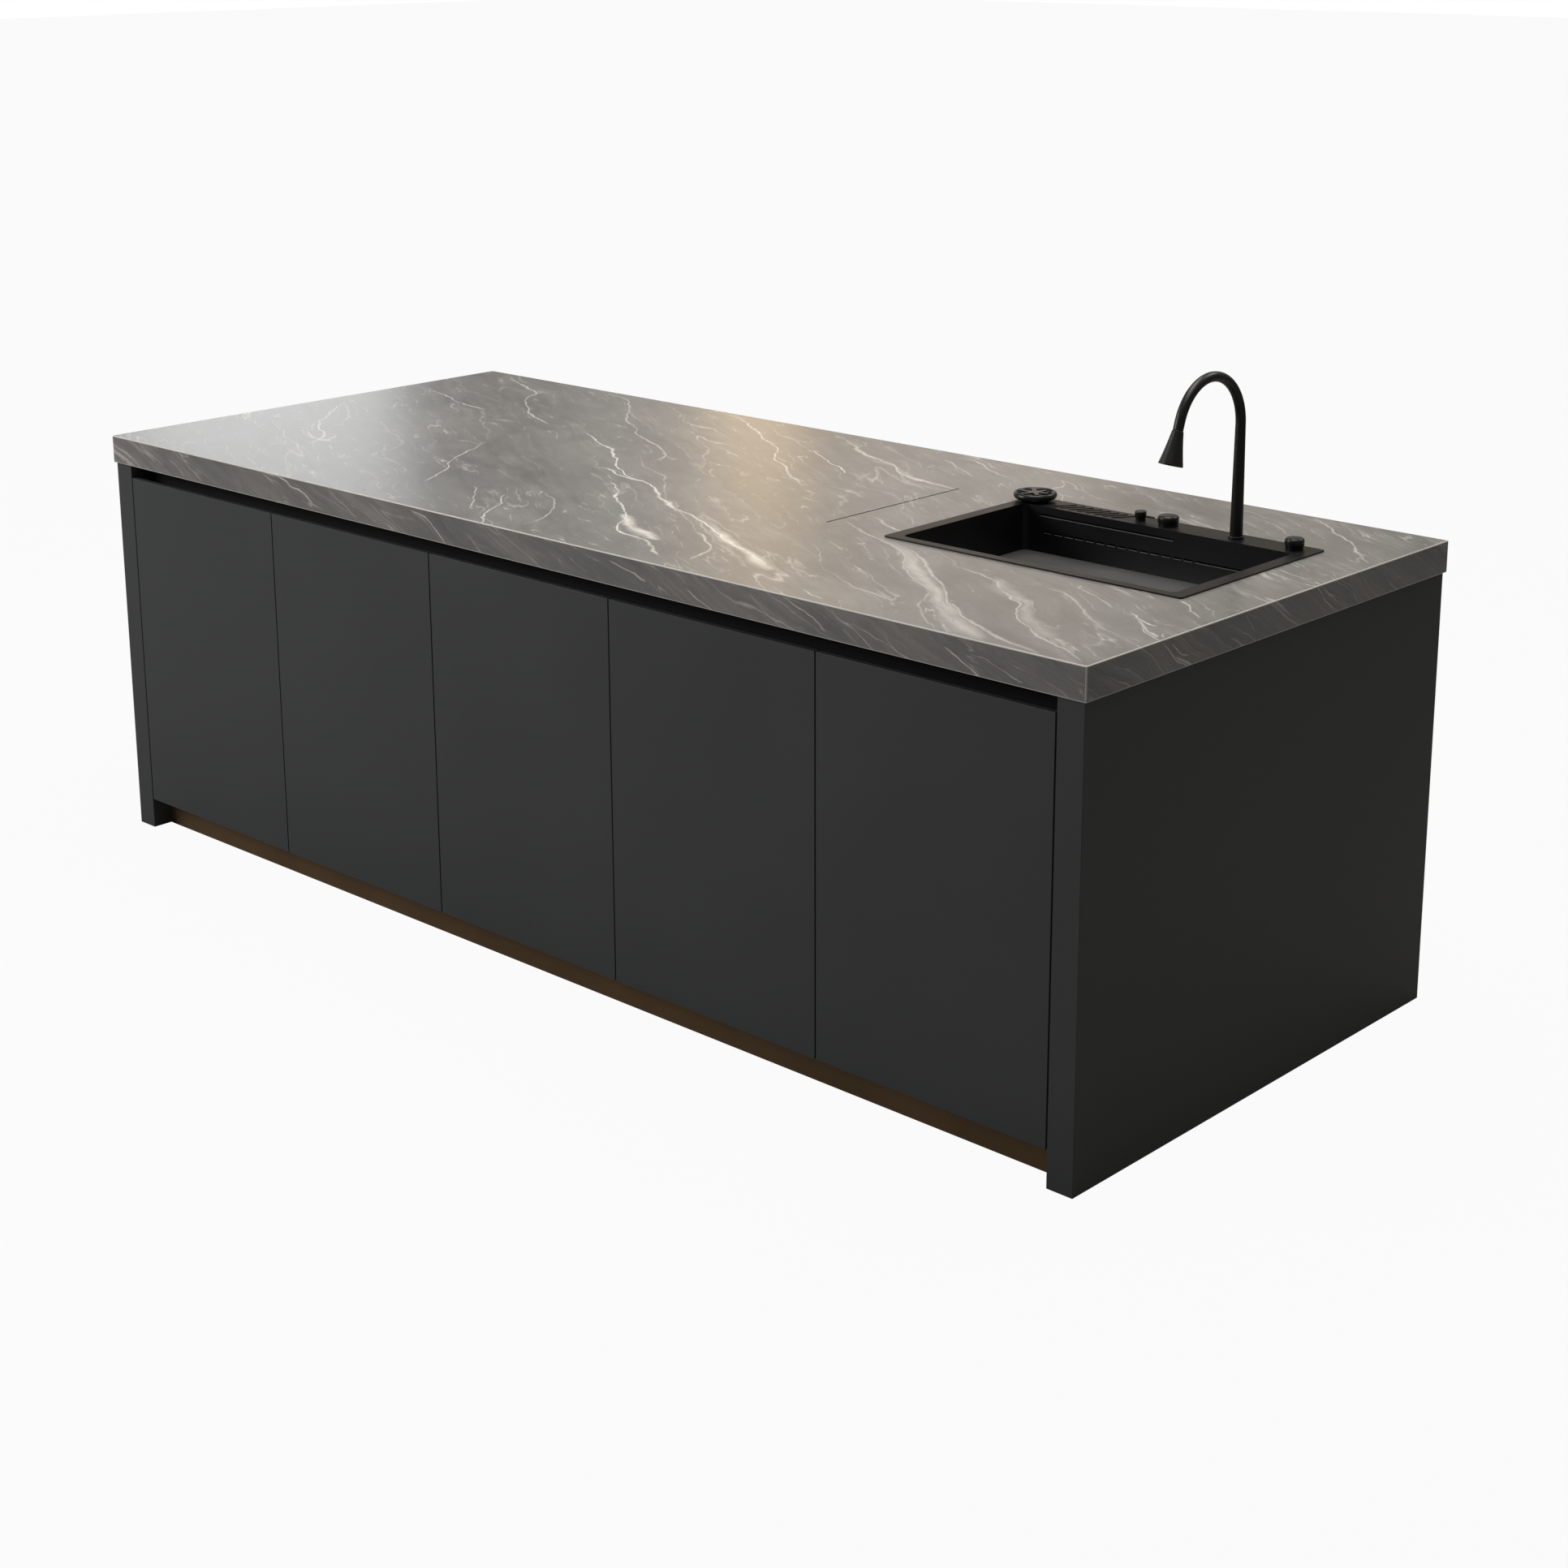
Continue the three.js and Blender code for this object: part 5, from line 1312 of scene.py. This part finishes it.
    def _hose(self) -> None:
        """Makes the hose between the spout and the head, which draws out as the head is pulled."""
        start = self.length / MM
        s = np.linspace(*self.hose_span_mm, 48) + start
        wall = np.stack([np.full_like(s, self.hose_mm), s], axis=-1)
        outline = np.concatenate([[[0, s[0]]], wall, [[0, s[-1]]]]) * MM
        mesh = Shape().sheet(self.tube(outline, 32)).mesh("pull_out_hose")
        piece = place("pull_out_hose", mesh, "hose_rubber", None, ["spray_hose"])
        ends = self.tube(np.array([[0, s[0] * MM], [0, s[-1] * MM]]), 4).mean(axis=1)
        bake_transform(piece, "spout", "spray_head", ends[0].tolist(), ends[1].tolist())


# ---- deck fittings


@dataclass(frozen=True)
class DeckFittings:
    """The rinser, the diverter and the two knobs on the sink's deck."""

    rinser: Triple = (0.577, 0.2935, 0.903)  # The rinser's middle on the deck.
    press: Edge = Edge(0.8)  # Rounding of the rinser's star.
    knob: Edge = Edge(0.6)  # Rounding of the knobs.

    def build(self) -> None:
        """Makes the rinser's bowl and finishes the star and the knobs."""
        outline = filleted(
            [
                (5.3, 0, 0), (25, 0, 0.6), (28, 3, 1.5), (39.4, 5.2, 3), (43, 10, 3.2), (42, 15.6, 2), (39.2, 18, 1.6),
                (36.4, 17.4, 1.2), (34, 15, 1.6), (31.6, 10.6, 2), (28, 9, 2), (5.3, 9, 0.5), (5.3, 0, 0),
            ]
        )
        mesh = Shape().sheet(revolved(outline, self.rinser, sides=96)).mesh("rinser_bowl")
        place("rinser_bowl", mesh, "rinser_gloss", BODIES["rinser_body"], ["rinser_body"])
        refined("rinser_press", self.press)
        for node in ("diverter_knob", "mixer_knob", "waste_knob"):
            refined(node, self.knob)


# ---- stage


@dataclass(frozen=True)
class SoftBox:
    """A rectangular lamp."""

    name: str  # Its name.
    at: Triple  # Where it hangs.
    towards: Triple  # The point it faces.
    size: Pair  # Its width and height, in metres.
    watts: float  # Its power.
    colour: Triple  # Its linear colour.

    def hang(self) -> None:
        """Hangs the lamp, out of the camera's sight."""
        data = bpy.data.lights.new(self.name, "AREA")
        data.shape = "RECTANGLE"
        data.size, data.size_y = self.size
        data.energy = self.watts
        data.color = self.colour
        lamp = linked(self.name, data)
        lamp.location = self.at
        lamp.rotation_euler = (Vector(self.towards) - Vector(self.at)).to_track_quat("-Z", "Y").to_euler()
        lamp.visible_camera = False


LAMPS = (
    SoftBox("box_left_front", (-3.9, -4.0, 3.1), (-0.6, -0.4, 0.6), (3.2, 2.4), 180, (1.0, 1.0, 0.99)),
    SoftBox("box_overhead", (0.4, 0.3, 4.2), (0.2, 0.0, 0.9), (3.6, 2.2), 112, (1.0, 0.985, 0.95)),
    SoftBox("box_back", (1.6, 4.2, 4.8), (0.2, 0.4, 0.5), (2.4, 1.4), 60, (1.0, 0.99, 0.97)),
    SoftBox("box_low_left", (-5.80, 3.00, 2.07), (-1.0, -0.3, 0.9), (1.25, 0.9), 12.2, (0.95, 0.98, 1.0)),
    SoftBox("box_warm_strip", (-4.19, 4.51, 2.15), (-0.1, 0.3, 0.9), (0.42, 1.3), 4.3, (1.0, 0.69, 0.35)),
    SoftBox("box_warm_middle", (-3.09, 4.60, 2.25), (0.65, -0.1, 0.9), (1.1, 1.25), 4.2, (1.0, 0.84, 0.69)),
    SoftBox("box_warm_right", (-2.21, 5.2, 2.3), (1.1, 0.2, 0.9), (1.5, 1.2), 1.9, (1.0, 0.78, 0.52)),
    SoftBox("box_soft_middle", (-4.32, 4.15, 2.2), (0.1, 0.1, 0.9), (1.0, 1.2), 2.0, (1.0, 0.92, 0.84)),
)


@dataclass
class Studio:
    """The pale floor, the soft lights and the camera."""

    eye: Triple = (3.616, -3.668, 2.036)  # Where the camera stands.
    yaw: float = 43.12  # Turn of its line of sight from +Y towards -X, in degrees.
    pitch: float = -14.31  # Its slope, in degrees.
    roll: float = -0.2  # Its roll, in degrees.
    lens: float = 60.06  # Focal length for a 36 mm sensor.
    shift: float = -0.1377  # Vertical shift, in sensor widths.
    floor_reach: float = 40.0  # Half the floor's width.
    floor_colour: Area = (0.3, 0.295, 0.29, 1)  # The floor's linear colour.
    floor_glow: float = 0.95  # How much of its own white the camera sees in the floor, 0 to 1.
    light_colour: Area = (1.0, 0.965, 0.91, 1)  # Linear colour of the light all around.
    light_strength: float = 0.2  # Its strength.

    def build(self) -> None:
        """Makes the stage."""
        self._camera()
        self._floor()
        self._world()
        for lamp in LAMPS:
            lamp.hang()

    def _camera(self) -> None:
        """Aims the camera: forward = (-sin yaw cos pitch, cos yaw cos pitch, sin pitch)."""
        yaw, pitch, roll = (math.radians(a) for a in (self.yaw, self.pitch, self.roll))
        forward = Vector((-math.sin(yaw) * math.cos(pitch), math.cos(yaw) * math.cos(pitch), math.sin(pitch)))
        right = Vector((math.cos(yaw), math.sin(yaw), 0))
        up = right.cross(forward)
        turned = right * math.cos(roll) + up * math.sin(roll)
        up = turned.cross(forward)
        data = bpy.data.cameras.new("camera")
        data.sensor_width = 36
        data.lens = self.lens
        data.shift_y = self.shift
        camera = linked("camera", data)
        camera.matrix_world = Matrix((turned, up, -forward)).transposed().to_4x4()
        camera.location = self.eye
        bpy.context.scene.camera = camera

    def _floor(self) -> None:
        """Lays a wide pale floor that looks white and keeps a soft shadow."""
        mesh = bpy.data.meshes.new("floor")
        r = self.floor_reach
        mesh.from_pydata([(-r, -r, 0), (r, -r, 0), (r, r, 0), (-r, r, 0)], [], [(0, 1, 2, 3)])
        floor = linked("floor", mesh)
        material = bpy.data.materials.new("pale_floor")
        material.use_nodes = True
        graph = Graph(material.node_tree)
        ray = graph.add("LightPath").outputs["Is Camera Ray"]
        matt = graph.add("BsdfDiffuse", {"Color": self.floor_colour}).outputs["BSDF"]
        white = graph.add("Emission", {"Color": WHITE, "Strength": 1.0}).outputs["Emission"]
        both = graph.add("MixShader", {"Fac": graph.math("MULTIPLY", ray, self.floor_glow), 1: matt, 2: white})
        graph.add("OutputMaterial", {"Surface": both.outputs["Shader"]})
        mesh.materials.append(material)

    def _world(self) -> None:
        """Surrounds the island with an even grey light that the camera sees as white."""
        world = bpy.data.worlds.new("studio")
        world.use_nodes = True
        bpy.context.scene.world = world
        graph = Graph(world.node_tree)
        ray = graph.add("LightPath").outputs["Is Camera Ray"]
        light = graph.add("Background", {"Color": self.light_colour, "Strength": self.light_strength})
        white = graph.add("Background", {"Color": WHITE, "Strength": 1.0})
        both = graph.add("MixShader", {"Fac": ray, 1: light.outputs[0], 2: white.outputs[0]})
        graph.add("OutputWorld", {"Surface": both.outputs["Shader"]})


def main() -> None:
    """Builds the island's looks and the stage."""
    bpy.context.scene.view_settings.view_transform = "Standard"
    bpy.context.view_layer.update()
    Studio().build()
    for assembly in (Worktop(), Cabinet(), Doors(), Sink(), Tap(), DeckFittings()):
        LOG.info("%s", type(assembly).__name__)
        assembly.build()


if __name__ == "__main__":
    main()
